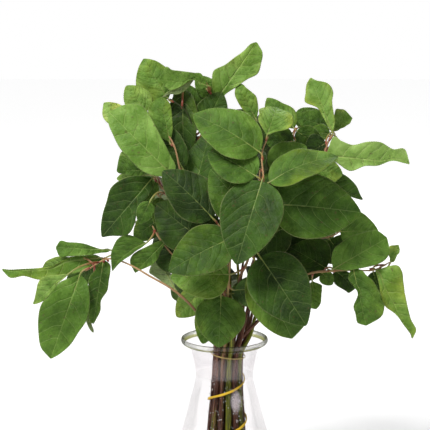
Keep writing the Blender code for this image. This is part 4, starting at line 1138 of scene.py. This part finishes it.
def drifted(one, axes, t, c, seed, extra=0.0):
    """Middle of the fine blade's thickness, with its small irregular rise, and the way out."""
    place, over = blade_point(one, axes, t, c, extra)
    return place + over * (axes[0] * layered(DRIFTS, t, c, seed) * (MIDDLE_DRIFT + abs(c))), over


def margin_change(one, t, c, row, seed):
    """How much wider or narrower a blade's margin is here: fine teeth, and ragged places."""
    if abs(c) < 1:
        return MARGIN_EXTRA
    torn = max(0.0, layered(TEARS, t, c, seed))
    return MARGIN_EXTRA + TOOTH * (row % 2) - one.rag * RAG * one.width * torn


def blade_sheets(surface, one, axes, seed, rows, columns):
    """Points of a blade's upper and lower sheets, which share their rim."""
    top = []
    bottom = []
    for i, t in enumerate(rows):
        top.append([])
        bottom.append([])
        for c in columns:
            rim = i == 0 or abs(c) == 1
            place, over = drifted(one, axes, t, c, seed, margin_change(one, t, c, i, seed))
            lateral = (across_at(one, t, c) - across_at(one, t, 0.0)) / axes[0]
            uv = (t, 0.5 + lateral)
            dip = vein_dip(t, lateral, abs(c))
            high = 0.0 if rim else FINE_HALF_THICKNESS - dip
            side = 0.5 if rim else 0.0
            tint = (one.tone, seed % 1.0, side, abs(c))
            top[i].append(surface.point(place + over * high, uv, tint))
            if rim:
                bottom[i].append(top[i][-1])
            else:
                tint = (one.tone, seed % 1.0, 1.0, abs(c))
                place = place - over * (FINE_HALF_THICKNESS + dip)
                bottom[i].append(surface.point(place, uv, tint))
    return top, bottom


def add_blade(surface, one, axes, seed):
    """A blade: its upper and lower sheets, which meet at its tip."""
    small = one.plain and not one.left
    rows = SMALL_ROWS if small else FINE_ROWS
    columns = SMALL_COLUMNS if small else FINE_COLUMNS
    top, bottom = blade_sheets(surface, one, axes, seed, rows, columns)
    for i in range(len(rows) - 1):
        for j in range(len(columns) - 1):
            surface.face((top[i][j], top[i][j + 1], top[i + 1][j + 1], top[i + 1][j]), LEAF)
            surface.face((bottom[i][j], bottom[i + 1][j], bottom[i + 1][j + 1], bottom[i][j + 1]),
                         LEAF)
    tip = surface.point(drifted(one, axes, 1.0, 0.0, seed)[0], (1.0, 0.5),
                        (one.tone, seed % 1.0, 0.5, 1.0))
    for j in range(len(columns) - 1):
        surface.face((top[-1][j], top[-1][j + 1], tip), LEAF)
        surface.face((bottom[-1][j + 1], bottom[-1][j], tip), LEAF)


def add_tube(surface, path, radii, sides, kind, hue, shares):
    """A capped round tube along a path."""
    rings = []
    side = (path[1] - path[0]).orthogonal().normalized()
    far = 0.0
    for i, place in enumerate(path):
        way = way_at(path, i)
        side = (side - way * side.dot(way)).normalized()
        far += (place - path[i - 1]).length if i else 0.0
        spots = round_about(place, side, way.cross(side), radii[i], sides)
        rings.append([surface.point(spot, (abs(2.0 * k / sides - 1.0), far * UV_A_METRE),
                                    (shares[i], hue, 0.0, 1.0)) for k, spot in enumerate(spots)])
    surface.tube(rings, kind)


def add_stalk(surface, one, axes, root, seed):
    """A leaf stalk that bends up to its blade and runs on below it as the midrib."""
    bend = stalk_bend(one, axes[1], root)
    path = []
    radii = []
    shares = []
    for k in range(STALK_STEPS):
        s = k / STALK_STEPS
        path.append(root * (1 - s) ** 2 + bend * (2 * s * (1 - s)) + one.base * s ** 2)
        radii.append(STALK_RADIUS * (STALK_BASE - STALK_SLIMS * s))
        shares.append(MIDRIB_COLOUR * s)
    for k in range(MIDRIB_STEPS + 1):
        s = k / MIDRIB_STEPS
        radius = STALK_RADIUS * (1 - MIDRIB_THINNER * s ** MIDRIB_TAPER)
        place, over = drifted(one, axes, MIDRIB_END * k / MIDRIB_STEPS, 0.0, seed)
        sunk = (FINE_HALF_THICKNESS + MIDRIB_SUNK * radius) * min(1, k)
        path.append(place - over * sunk)
        radii.append(radius)
        shares.append(MIDRIB_COLOUR + (1 - MIDRIB_COLOUR) * k / MIDRIB_STEPS)
    add_tube(surface, path, radii, STALK_SIDES, STALK, seed % 1.0, shares)


def add_bud(surface, place, way, hue):
    """A small pointed bud in the angle of a stalk."""
    path = [place + way * (BUD_SIZE * along) for along, _ in BUD_RINGS]
    radii = [BUD_SIZE * wide for _, wide in BUD_RINGS]
    add_tube(surface, path, radii, STALK_SIDES, STALK, hue, [BUD_COLOUR] * len(path))


def add_wood(surface, route, radii, roots, hue):
    """A woody stem that swells a little at each leaf."""
    thick = []
    for place, radius in zip(route, radii):
        near = min([(place - root).length for root in roots] + [FAR_FROM_LEAVES])
        size = 1 - TWIG_SLIMMER * clipped((place.z - SLIMMER_ABOVE) / SLIMMER_OVER)
        size += BUNDLE_WIDER * clipped((WIDER_BELOW - place.z) / WIDER_OVER)
        thick.append(radius * size * (1 + NODE_SWELL * math.exp(-(near / NODE_REACH) ** 2)))
    shares = [k / (len(route) - 1) for k in range(len(route))]
    add_tube(surface, route, thick, BARK_SIDES, BARK, hue, shares)


def finer_route(route, radii):
    """The route with a point put between each two, for its swellings."""
    places = [route[0]]
    sizes = [radii[0]]
    for k in range(1, len(route)):
        places += [(route[k - 1] + route[k]) / 2, route[k]]
        sizes += [(radii[k - 1] + radii[k]) / 2, radii[k]]
    return places, sizes


def fuller(place):
    """The place in the dressed bundle, which is wider near the rim."""
    middle = bundle_at(place.z)[0]
    wider = 1 + SPREAD_WIDER * between(place.z, SPREAD_HEIGHTS, SPREAD_SHARES)
    return Vector((middle + (place.x - middle) * wider, place.y * wider, place.z))


def leftward(place):
    """The place moved left, as the dressed bundle is near the rim."""
    share = between(place.z, SPREAD_HEIGHTS, SPREAD_SHARES)
    return place - Vector((SPREAD_LEFT * share, 0.0, 0.0))


def dress_stem(number, name, route, radii, leaves, materials):
    """One leafy stem in full detail, in place of its plain solid."""
    surface = Surface()
    hue = (FIRST_HUE + SHUFFLE * number) % 1.0
    places, sizes = finer_route([leftward(fuller(place)) for place in route], radii)
    leaves = [(one, leftward(fuller(root))) for one, root in leaves]
    add_wood(surface, places, sizes, [root for _, root in leaves], hue)
    for k, (one, root) in enumerate(leaves):
        seed = FIRST_SEED + SHUFFLE * k + STEM_SEED * number
        axes = blade_axes(one)
        add_blade(surface, one, axes, seed)
        add_stalk(surface, one, axes, root, seed)
        way = (one.base - root).normalized()
        add_bud(surface, root + way * BUD_OUT, (way + UP * BUD_RISE).normalized(), seed % 1.0)
    piece = surface.to_object("leafy_" + name, materials)
    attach(piece, "root")
    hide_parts(name)


class Wire:
    """What a shader node puts out. Sums and products of wires make new nodes."""

    def __init__(self, graph, socket):
        self.graph = graph
        self.socket = socket

    def __add__(self, other):
        return self.graph.math("ADD", self, other)

    def __sub__(self, other):
        return self.graph.math("SUBTRACT", self, other)

    def __rsub__(self, other):
        return self.graph.math("SUBTRACT", other, self)

    def __mul__(self, other):
        return self.graph.math("MULTIPLY", self, other)

    def __truediv__(self, other):
        return self.graph.math("DIVIDE", self, other)

    def __abs__(self):
        return self.graph.math("ABSOLUTE", self)


class Graph:
    """Helpers that add nodes to the shader of a material or of the world."""

    def __init__(self, owner, output="OutputMaterial"):
        owner.use_nodes = True
        self.owner = owner
        self.nodes = owner.node_tree.nodes
        self.links = owner.node_tree.links
        self.nodes.clear()
        self.output = self.nodes.new("ShaderNode" + output)

    def feed(self, socket, value):
        """Link a wire to a socket, or set the socket's own value."""
        if isinstance(value, Wire):
            self.links.new(value.socket, socket)
        elif isinstance(value, tuple) and socket.type == "RGBA":
            socket.default_value = (*value, 1.0)
        else:
            socket.default_value = value

    def add(self, kind, inputs, output=0, **settings):
        """A new node with these settings and inputs; gives one of its outputs, or all."""
        node = self.nodes.new("ShaderNode" + kind)
        for name, value in settings.items():
            setattr(node, name, value)
        for key, value in inputs.items():
            self.feed(node.inputs[key], value)
        if output == "all":
            return [Wire(self, socket) for socket in node.outputs]
        return Wire(self, node.outputs[output])

    def math(self, operation, *values):
        return self.add("Math", dict(enumerate(values)), operation=operation)

    def highest(self, *values):
        """The greatest of some values."""
        most = values[0]
        for value in values[1:]:
            most = self.math("MAXIMUM", most, value)
        return most

    def step(self, value, low, high):
        """0 below low, 1 above high, smooth between."""
        return self.add("MapRange", {"Value": value, "From Min": low, "From Max": high}, "Result",
                        interpolation_type="SMOOTHSTEP")

    def fade(self, value, low, high):
        """1 below low, 0 above high, smooth between."""
        return 1.0 - self.step(value, low, high)

    def mix(self, share, first, second, blend="MIX"):
        return self.add("Mix", {0: share, 6: first, 7: second}, 2, data_type="RGBA",
                        blend_type=blend)

    def ramp(self, value, stops):
        """Colour by value, straight between the stops."""
        node = self.nodes.new("ShaderNodeValToRGB")
        while len(node.color_ramp.elements) < len(stops):
            node.color_ramp.elements.new(0.5)
        for element, (place, colour) in zip(node.color_ramp.elements, stops):
            element.position = place
            element.color = (*colour, 1.0)
        self.feed(node.inputs[0], value)
        return Wire(self, node.outputs[0])

    def vector(self, *values):
        return self.add("CombineXYZ", dict(enumerate(values)))

    def parts(self, vector):
        return self.add("SeparateXYZ", {0: vector}, "all")

    def uv(self):
        return self.parts(self.add("UVMap", {}, uv_map="surface"))

    def tint(self):
        """Parts of the colour attribute: tone or share, seed or hue, side, and margin."""
        colour, _, _, margin = self.add("Attribute", {}, "all", attribute_name="tint")
        return *self.add("SeparateColor", {0: colour}, "all"), margin

    def place(self):
        return self.add("TexCoord", {}, "Object")

    def noise(self, vector, scale, detail=2.0, roughness=0.5):
        return self.add("TexNoise", {"Vector": vector, "Scale": scale, "Detail": detail,
                                     "Roughness": roughness})

    def cell_edges(self, vector, scale, width):
        """1 at the edges of irregular cells, 0 further than a width from them."""
        away = self.add("TexVoronoi", {"Vector": vector, "Scale": scale}, "Distance",
                        feature="DISTANCE_TO_EDGE")
        return self.fade(away, 0.0, width)

    def bump(self, height, strength, distance):
        return self.add("Bump", {"Strength": strength, "Distance": distance, "Height": height})

    def shader(self, kind, **inputs):
        """A shader; Base_Color stands for its input Base Color, and so on."""
        return self.add(kind, {name.replace("_", " "): value for name, value in inputs.items()})

    def shader_mix(self, share, first, second):
        return self.add("MixShader", {0: share, 1: first, 2: second})

    def gleaming(self, clear, ior, **inputs):
        """A clear shader with a faint gleam where it is seen edge on."""
        gleam = self.shader("BsdfGlossy", Roughness=GLEAM_ROUGHNESS, **inputs)
        return self.shader_mix(self.add("Fresnel", {"IOR": ior}) * GLEAM_SHARE, clear, gleam)

    def finish(self, shader):
        """Make this the surface; gives the finished material or world."""
        self.feed(self.output.inputs["Surface"], shader)
        return self.owner


def new_material(name):
    return Graph(bpy.data.materials.new(name))


def leaf_veins(g, t, across, seed):
    """Place in a blade's pattern, strength of its lines, and its rise between the side veins."""
    spot = g.vector(t, across, seed * SEED_STEP)
    warp = (g.noise(spot, WANDER_SCALE) - 0.5) * WANDER
    lateral = across - 0.5
    out = abs(lateral)
    right = g.math("GREATER_THAN", lateral, 0.0)
    start = t + warp - out * VEIN_LEAN - out * out * VEIN_ARCH
    phase = (start + right * VEIN_SHIFT) / VEIN_SPACING
    away = abs(phase - g.math("ROUND", phase)) * VEIN_SPACING
    inside = g.step(start, *VEINS_FROM) * g.fade(start, *VEINS_TO)
    side_vein = g.fade(away, VEIN_CORE, VEIN_WIDTH - out * VEIN_NARROWS) * inside
    quilt = g.step(away, 0.0, QUILT_WIDTH) * inside
    midrib = g.fade(out, MIDRIB_CORE, MIDRIB_WIDTH - t * MIDRIB_NARROWS)
    bent = g.vector(t + warp, across, seed * SEED_STEP)
    lines = g.highest(midrib * MIDRIB_SHOWS, side_vein * SIDE_VEIN_SHOWS,
                      g.cell_edges(bent, *NET) * NET_SHOWS,
                      g.cell_edges(bent, *FINE_NET) * FINE_NET_SHOWS)
    return spot, lines, quilt


def leaf_green(g, tone, seed, spot, margin):
    """Mottled green of a blade: each leaf has its own tone, and paler and yellower places."""
    shade = tone
    for scale, detail, strength in MOTTLES:
        shade = shade + (g.noise(spot, scale, detail) - 0.5) * strength
    green = g.ramp(shade + g.step(margin, 0.25, 1.0) * 0.07, LEAF_TONES)
    yellow = g.step(g.noise(spot, 2.4), 0.46, 0.70) * 0.5 + g.step(margin, 0.5, 1.0) * 0.25
    yellow = yellow * g.step(seed, 0.15, 0.85)
    return g.mix(yellow, green, g.mix(1.0, green, YELLOWER, "MULTIPLY"))


def leaf_colour(g, t, side, margin, spot, lines, green):
    """Colour of a blade's two sides with their veins, its rim and its brown places."""
    pale = g.mix(0.34, g.mix(1.0, green, BRIGHTER, "MULTIPLY"), VEIN_GREEN)
    lower = g.mix(lines * 1.2, g.mix(0.62, green, BACK_GREEN), BACK_VEIN)
    colour = g.mix(side, g.mix(lines, green, pale), lower)
    colour = g.mix(g.step(margin, 0.955, 1.0) * 0.28, colour, RIM_OLIVE)
    burnt = g.step(margin, 0.80, 1.02) * 0.30 + g.noise(spot, 8.0, 4.0, 0.65)
    burnt = burnt + g.step(t, 0.95, 1.0) * 0.16
    colour = g.mix(g.step(burnt, 0.93, 1.02), colour, BURNT_BROWN)
    return g.mix(g.step(g.noise(spot, 22.0, 1.0), 0.67, 0.76) * 0.55, colour, SPECK_BROWN)


def leaf_material():
    """Leathery blade: pale midrib and side veins, a net between them, a paler underside."""
    g = new_material("leaf_blade")
    t, across, _ = g.uv()
    tone, seed, side, margin = g.tint()
    spot, lines, quilt = leaf_veins(g, t, across, seed)
    green = leaf_green(g, tone, seed, spot, margin)
    colour = leaf_colour(g, t, side, margin, spot, lines, green)
    rough = g.noise(spot, 14.0) * 0.16 + 0.40 + side * 0.2
    height = g.noise(spot, 6.0, 3.0) * 3.0 + quilt * 0.40 - lines * 0.9
    height = height + g.noise(spot, 30.0) * 0.7
    return g.finish(g.shader(
        "BsdfPrincipled", Base_Color=colour, Roughness=rough, Normal=g.bump(height, *BLADE_RELIEF),
        Specular_IOR_Level=0.16, Subsurface_Weight=0.05, Subsurface_Radius=(0.6, 1.0, 0.15),
        Subsurface_Scale=0.0012))


def stalk_material():
    """Leaf stalks: red at the stem, then orange, then the yellow-green of the midrib."""
    g = new_material("leaf_stalk")
    share, hue, _, _ = g.tint()
    around, far, _ = g.uv()
    streak = g.noise(g.vector(around * 3.0, far, hue), 12.0, 3.0)
    colour = g.ramp(share + (streak - 0.5) * 0.16, STALK_TONES)
    return g.finish(g.shader("BsdfPrincipled", Base_Color=colour, Roughness=0.45,
                             Normal=g.bump(streak, *STALK_RELIEF)))


def bark_material():
    """Woody stems: red-brown, purple-brown or olive, tan at the tips, dark and wet in the water; one
    stem's tip is painted dark as shade.
    """
    g = new_material("stem_bark")
    share, hue, _, _ = g.tint()
    around, far, _ = g.uv()
    grain = g.noise(g.vector(around * 6.0, far * 0.8, hue * 9.0), 5.0, 4.0, 0.6)
    patch = g.noise(g.vector(around, far * 0.9, hue * 23.0), 2.0)
    olive_share = g.highest(g.step(hue, 0.80, 0.84), g.step(patch, 0.55, 0.70) * 0.7)
    base = g.mix(olive_share, g.ramp(grain, WOODY_TONES), g.ramp(grain, OLIVE_TONES))
    # Painted shade: the tip of the stem with this hue is dark instead of tan.
    shaded = g.step(hue, 0.28, 0.30) * g.fade(hue, 0.33, 0.35)
    young = g.mix(shaded, g.ramp(grain, YOUNG_TONES), SHADED_TWIG)
    colour = g.mix(g.step(share, 0.52, 0.88), base, young)
    _, _, height = g.parts(g.place())
    wet = g.fade(height, WATER_LINE - 0.0005, WATER_LINE + 0.0005)
    colour = g.mix(wet * 0.45, colour, g.mix(1.0, colour, colour, "MULTIPLY"))
    return g.finish(g.shader("BsdfPrincipled", Base_Color=colour, Roughness=0.62 - wet * 0.20,
                             Specular_IOR_Level=0.25, Normal=g.bump(grain, *BARK_RELIEF)))


def far_from_middle(g, x, y):
    """Distance from the vase's axis."""
    return g.math("SQRT", x * x + y * y)


def lip_shader(g, grazing, wobble, height):
    """The thick lip bends the light; where it is seen edge on, painted grey lines and an olive underside
    stand in for the surroundings and foliage that it bends and reflects.
    """
    glass = g.shader("BsdfGlass", Color=LIP_GLASS, Roughness=0.0, IOR=LIP_IOR,
                     Normal=g.bump(wobble, *GLASS_RELIEF))
    under = g.fade(height, *LIP_UNDERSIDE)
    dark = g.mix(under, g.ramp(grazing, LIP_TONES), g.ramp(grazing, UNDER_TONES))
    return g.shader_mix(LIP_OUTLINE, glass, g.shader("BsdfTransparent", Color=dark))


def mist_and_glare_share(g, place, wobble):
    """How hazy the wall is: mist and painted reflection in a band above the water, and a ragged whitish
    patch on its front.
    """
    x, y, height = g.parts(place)
    band = g.step(height, *MIST_AND_GLARE_BOTTOM) * g.fade(height, *MIST_AND_GLARE_TOP)
    off_x = (x - PATCH_PLACE[0]) / PATCH_SIZE[0]
    off_z = (height - PATCH_PLACE[1]) / PATCH_SIZE[1]
    away = off_x * off_x + off_z * off_z + g.noise(place, *PATCH_GRAIN) * PATCH_RAGGED
    patch = g.fade(away, *PATCH_EDGE) * g.math("LESS_THAN", y, 0.0)
    return band * (wobble * MIST_AND_GLARE_MORE + MIST_AND_GLARE_LEAST) + patch * PATCH_HAZE


def glass_material():
    """Clear glass: its thick lip bends the light, and its thin wall lets it straight through."""
    g = new_material("vase_glass")
    place = g.place()
    x, y, height = g.parts(place)
    wobble = g.noise(place, WOBBLE_SCALE)
    grazing = g.add("LayerWeight", {"Blend": GRAZING_BLEND}, "Facing")
    streak = g.step(wobble, *STREAKS) * STREAK_SHARE
    # The wall's tint greys where it is seen edge on: a painted reflection.
    tint = g.mix(streak, g.ramp(grazing, WALL_TONES), WALL_STREAK)
    wall = g.gleaming(g.shader("BsdfTransparent", Color=tint), WALL_IOR)
    # A grey matte veil over the wall: mist and painted reflection in the neck, and the whitish patch.
    haze = g.shader("BsdfDiffuse", Color=HAZE_GREY)
    wall = g.shader_mix(mist_and_glare_share(g, place, wobble), wall, haze)
    at_lip = g.step(far_from_middle(g, x, y), *LIP_RADIUS) * g.step(height, *LIP_HEIGHT)
    both = g.shader_mix(at_lip, wall, lip_shader(g, grazing, wobble, height))
    through = g.shader("BsdfTransparent", Color=THROUGH_GLASS)
    return g.finish(g.shader_mix(g.add("LightPath", {}, "Is Shadow Ray"), both, through))


def water_material():
    """Still water: nearly clear, with a faint gleam."""
    g = new_material("clear_water")
    place = g.place()
    clear = g.shader("BsdfTransparent", Color=g.mix(g.noise(place, 12.0), *WATER_TINTS))
    return g.finish(g.gleaming(clear, WATER_IOR, Normal=g.bump(g.noise(place, 60.0), *WATER_RELIEF)))


def band_material(name, light, dark):
    """Elastic band with fine ribs and a few dark specks."""
    g = new_material(name)
    around, far, _ = g.uv()
    rib = g.noise(g.vector(around * 8.0, far * 0.6, 0.0), 6.0, 3.0)
    colour = g.mix(g.step(rib, 0.35, 0.7), dark, light)
    speck = g.step(g.noise(g.place(), 900.0), 0.62, 0.75) * 0.5
    return g.finish(g.shader("BsdfPrincipled", Base_Color=g.mix(speck, colour, BAND_SPECK),
                             Roughness=0.5, Normal=g.bump(rib, *BAND_RELIEF)))


def bubble_material():
    """Air bubbles: half clear, and painted pale grey to white as a glint of the light they reflect."""
    g = new_material("air_bubble")
    shade = g.noise(g.place(), 400.0)
    return g.finish(g.shader("BsdfPrincipled", Base_Color=g.ramp(shade, BUBBLE_TONES),
                             Roughness=0.08, Alpha=0.6, Normal=g.bump(shade, *BUBBLE_RELIEF)))


def turned_mesh(name, profile, steps, material):
    """A profile of radius and height pairs turned round the Z axis."""
    mesh = bpy.data.meshes.new(name)
    mesh.from_pydata([(radius, 0.0, height) for radius, height in profile],
                     [(i, i + 1) for i in range(len(profile) - 1)], [])
    mesh.materials.append(material)
    made = add_object(name, mesh)
    screw = made.modifiers.new("turn", "SCREW")
    screw.steps = steps
    screw.render_steps = steps
    screw.use_merge_vertices = True
    screw.merge_threshold = MERGE_WITHIN
    screw.use_smooth_shade = True
    return made


def smooth_profile(profile, spacing):
    """More points on a smooth curve through a profile of radius and height pairs."""
    knots = [Vector((radius, 0.0, height)) for radius, height in profile]
    return [(p.x, p.z) for p in smooth_route(knots, spacing)]


def wall_inside(height):
    """Inner radius of the vase at a height."""
    radii, heights = zip(*VASE_PROFILE)
    return between(height, heights, radii) - GLASS_WALL


def vase_profile():
    """The vase: up the inside from its floor, over the lip and down the outside to its base."""
    inside = [(wall_inside(height), height) for height in INNER_HEIGHTS]
    lower = [(0.0, GLASS_FLOOR), (FLOOR_FLAT * inside[0][0], GLASS_FLOOR),
             (inside[0][0] - FLOOR_CORNER, GLASS_FLOOR + FLOOR_DISH)]
    outline = lower + inside + list(LIP_BEAD) + list(reversed(VASE_PROFILE[1:]))
    return smooth_profile(outline, VASE_FINENESS) + [(VASE_PROFILE[0][0], 0.0), (0.0, 0.0)]


def dress_vase():
    """The vase in clear glass."""
    vase = turned_mesh("glass_vase", vase_profile(), VASE_SEGMENTS, glass_material())
    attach(vase, "root")
    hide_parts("vase")


def dress_water():
    """The water, up to its still surface."""
    low = GLASS_FLOOR + 2 * TOUCH_GAP
    sides = [height for height in INNER_HEIGHTS if height < WATER_LINE] + [WATER_LINE]
    outside = [(wall_inside(height) - 2 * TOUCH_GAP, height) for height in reversed(sides)]
    (near, small_dip), (inner, dip) = WATER_DIP
    edge = outside[0][0]
    profile = [(0.0, WATER_LINE - dip), (edge - inner, WATER_LINE - dip),
               (edge - near, WATER_LINE - small_dip)] + smooth_profile(outside, WATER_FINENESS)
    profile += [(outside[-1][0] - FLOOR_CORNER, low), (0.0, low)]
    water = turned_mesh("vase_water", profile, WATER_SEGMENTS, water_material())
    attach(water, "root")
    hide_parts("water")


def band_ring(place, out, over, width, twist):
    """Points of a flat band's section: wider than it is thick, and turned by twist."""
    spots = []
    for k in range(BAND_SIDES):
        angle = FULL_TURN * k / BAND_SIDES
        flat = Vector((math.cos(angle) * BAND_THINNESS, math.sin(angle)))
        x = flat.x * math.cos(twist) - flat.y * math.sin(twist)
        y = flat.x * math.sin(twist) + flat.y * math.cos(twist)
        spots.append(place + out * (x * width) + over * (y * width))
    return spots


def dress_tie(name, node, path, width, colours):
    """A flat band along a path round the bundle."""
    surface = Surface()
    rings = []
    far = 0.0
    for i, place in enumerate(path):
        way = way_at(path, i)
        middle = leftward(Vector((bundle_at(place.z)[0], 0.0, place.z)))
        out = (place - middle).normalized()
        out = (out - way * out.dot(way)).normalized()
        far += (place - path[i - 1]).length if i else 0.0
        spots = band_ring(place, out, way.cross(out), width,
                          BAND_TWIST * math.sin(BAND_TWIST_STEP * i))
        rings.append([surface.point(spot, (abs(2.0 * k / BAND_SIDES - 1.0), far * UV_A_METRE))
                      for k, spot in enumerate(spots)])
    surface.tube(rings)
    piece = surface.to_object(name, [band_material(name, *colours)])
    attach(piece, "root")
    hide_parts(node)


def dress_ties(routes, radii):
    """The pale band near the rim and the bright one wound round below it."""
    count = UPPER_TIE_POINTS
    upper = []
    for k in range(count + 1):
        place = upper_band_point(routes, radii, FULL_TURN * k / count, math.pi / count)
        upper.append(leftward(place))
    dress_tie("pale_band", "tie_upper", upper, UPPER_TIE_RADIUS, PALE_BAND)
    count = round(SPIRAL_TURNS * SPIRAL_POINTS_A_TURN)
    lower = []
    for k in range(count + 1):
        height = SPIRAL_BOTTOM + (SPIRAL_TOP - SPIRAL_BOTTOM) * k / count
        angle = SPIRAL_START + FULL_TURN * k / SPIRAL_POINTS_A_TURN
        lower.append(leftward(band_point(routes, radii, height, angle,
                                         math.pi / SPIRAL_POINTS_A_TURN, SPIRAL_TIE_RADIUS)))
    dress_tie("bright_band", "tie_spiral", lower, SPIRAL_TIE_RADIUS * SPIRAL_WIDER, BRIGHT_BAND)


def add_bubbles(routes, radii):
    """Small air bubbles that cling to the stems below the water's surface."""
    draw = random.Random(BUBBLE_SEED)
    surface = Surface()
    for _ in range(BUBBLES):
        height = WATER_LINE - BUBBLES_BELOW - BUBBLES_DEPTH * draw.random() ** BUBBLES_CURVE
        compass = draw.choice(BUBBLE_ANGLES) + draw.uniform(-BUBBLE_SPREAD, BUBBLE_SPREAD)
        size = draw.uniform(*BUBBLE_SIZES)
        spot = band_point(routes, radii, height, math.radians(compass), 0.0, size * BUBBLE_SUNK)
        add_ball(surface, leftward(spot), size)
    piece = surface.to_object("air_bubbles", [bubble_material()])
    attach(piece, "root")


def add_ball(surface, middle, size):
    """A small round ball of rings."""
    rings = []
    for i in range(1, BALL_BANDS):
        tilt = math.pi * i / BALL_BANDS
        ring = []
        for k in range(BALL_SIDES):
            angle = FULL_TURN * k / BALL_SIDES
            way = Vector((math.sin(tilt) * math.cos(angle), math.sin(tilt) * math.sin(angle),
                          math.cos(tilt)))
            ring.append(surface.point(middle + way * size))
        rings.append(ring)
    top = surface.point(middle + Vector((0, 0, size)))
    low = surface.point(middle - Vector((0, 0, size)))
    for k in range(BALL_SIDES):
        n = (k + 1) % BALL_SIDES
        surface.face((top, rings[0][k], rings[0][n]))
        surface.face((low, rings[-1][n], rings[-1][k]))
        for upper, lower in zip(rings, rings[1:]):
            surface.face((upper[k], lower[k], lower[n], upper[n]))


def add_camera():
    """The photograph's view: the eye that the leaves are placed by."""
    data = bpy.data.cameras.new("eye")
    data.sensor_width = SENSOR_WIDTH
    data.lens = LENS
    eye = add_object("eye", data)
    eye.matrix_world = Matrix([[RIGHT[i], UP[i], -AHEAD[i], EYE[i]] for i in range(3)]
                              + [[0.0, 0.0, 0.0, 1.0]])
    bpy.context.scene.camera = eye


def add_light(name, place, aim, size, power):
    """A soft square lamp."""
    data = bpy.data.lights.new(name, "AREA")
    data.shape = "SQUARE"
    data.size = size
    data.energy = power
    lamp = add_object(name, data)
    lamp.location = place
    lamp.rotation_euler = (Vector(aim) - Vector(place)).to_track_quat("-Z", "Y").to_euler()


def set_world():
    """White behind the object, and a softer light from all round that is brighter above."""
    world = bpy.data.worlds.new("studio")
    bpy.context.scene.world = world
    g = Graph(world, "OutputWorld")
    _, _, height = g.parts(g.add("TexCoord", {}, "Generated"))
    camera, glossy, transmission = [g.add("LightPath", {}, f"Is {kind} Ray")
                                    for kind in ("Camera", "Glossy", "Transmission")]
    sky = g.mix(glossy, g.ramp(height, SKY_TONES), SKY_IN_GLOSS)
    g.finish(g.shader("Background", Color=g.mix(g.highest(camera, transmission), sky, WHITE)))


def floor_material():
    """A white floor that glows for the camera far away."""
    g = new_material("floor_white")
    x, y, _ = g.parts(g.place())
    glow = g.step(far_from_middle(g, x, y), *GLOW_FROM_TO) * GLOW
    return g.finish(g.shader(
        "BsdfPrincipled", Base_Color=FLOOR_WHITE, Roughness=0.9, Emission_Color=WHITE,
        Emission_Strength=glow * g.add("LightPath", {}, "Is Camera Ray")))


def set_stage():
    """A white floor and soft studio light."""
    mesh = bpy.data.meshes.new("floor")
    half = FLOOR_HALF
    mesh.from_pydata([(-half, -half, 0), (half, -half, 0), (half, half, 0), (-half, half, 0)],
                     [], [(0, 1, 2, 3)])
    mesh.materials.append(floor_material())
    floor = add_object("floor", mesh)
    set_world()
    for lamp in LAMPS:
        add_light(*lamp)
    view = bpy.context.scene.view_settings
    view.view_transform = "Standard"
    view.look = "None"
    view.exposure = 0.0
    view.gamma = 1.0


def main():
    add_camera()
    set_stage()
    routes, radii, leaves = grow()
    materials = [leaf_material(), stalk_material(), bark_material()]
    for number, name in enumerate(routes):
        dress_stem(number, name, routes[name], radii[name], leaves[name], materials)
    dress_vase()
    dress_water()
    full = {name: [fuller(place) for place in route] for name, route in routes.items()}
    wide = {name: [radius * (1 + BUNDLE_WIDER) for radius in row] for name, row in radii.items()}
    dress_ties(full, wide)
    add_bubbles(full, wide)


main()
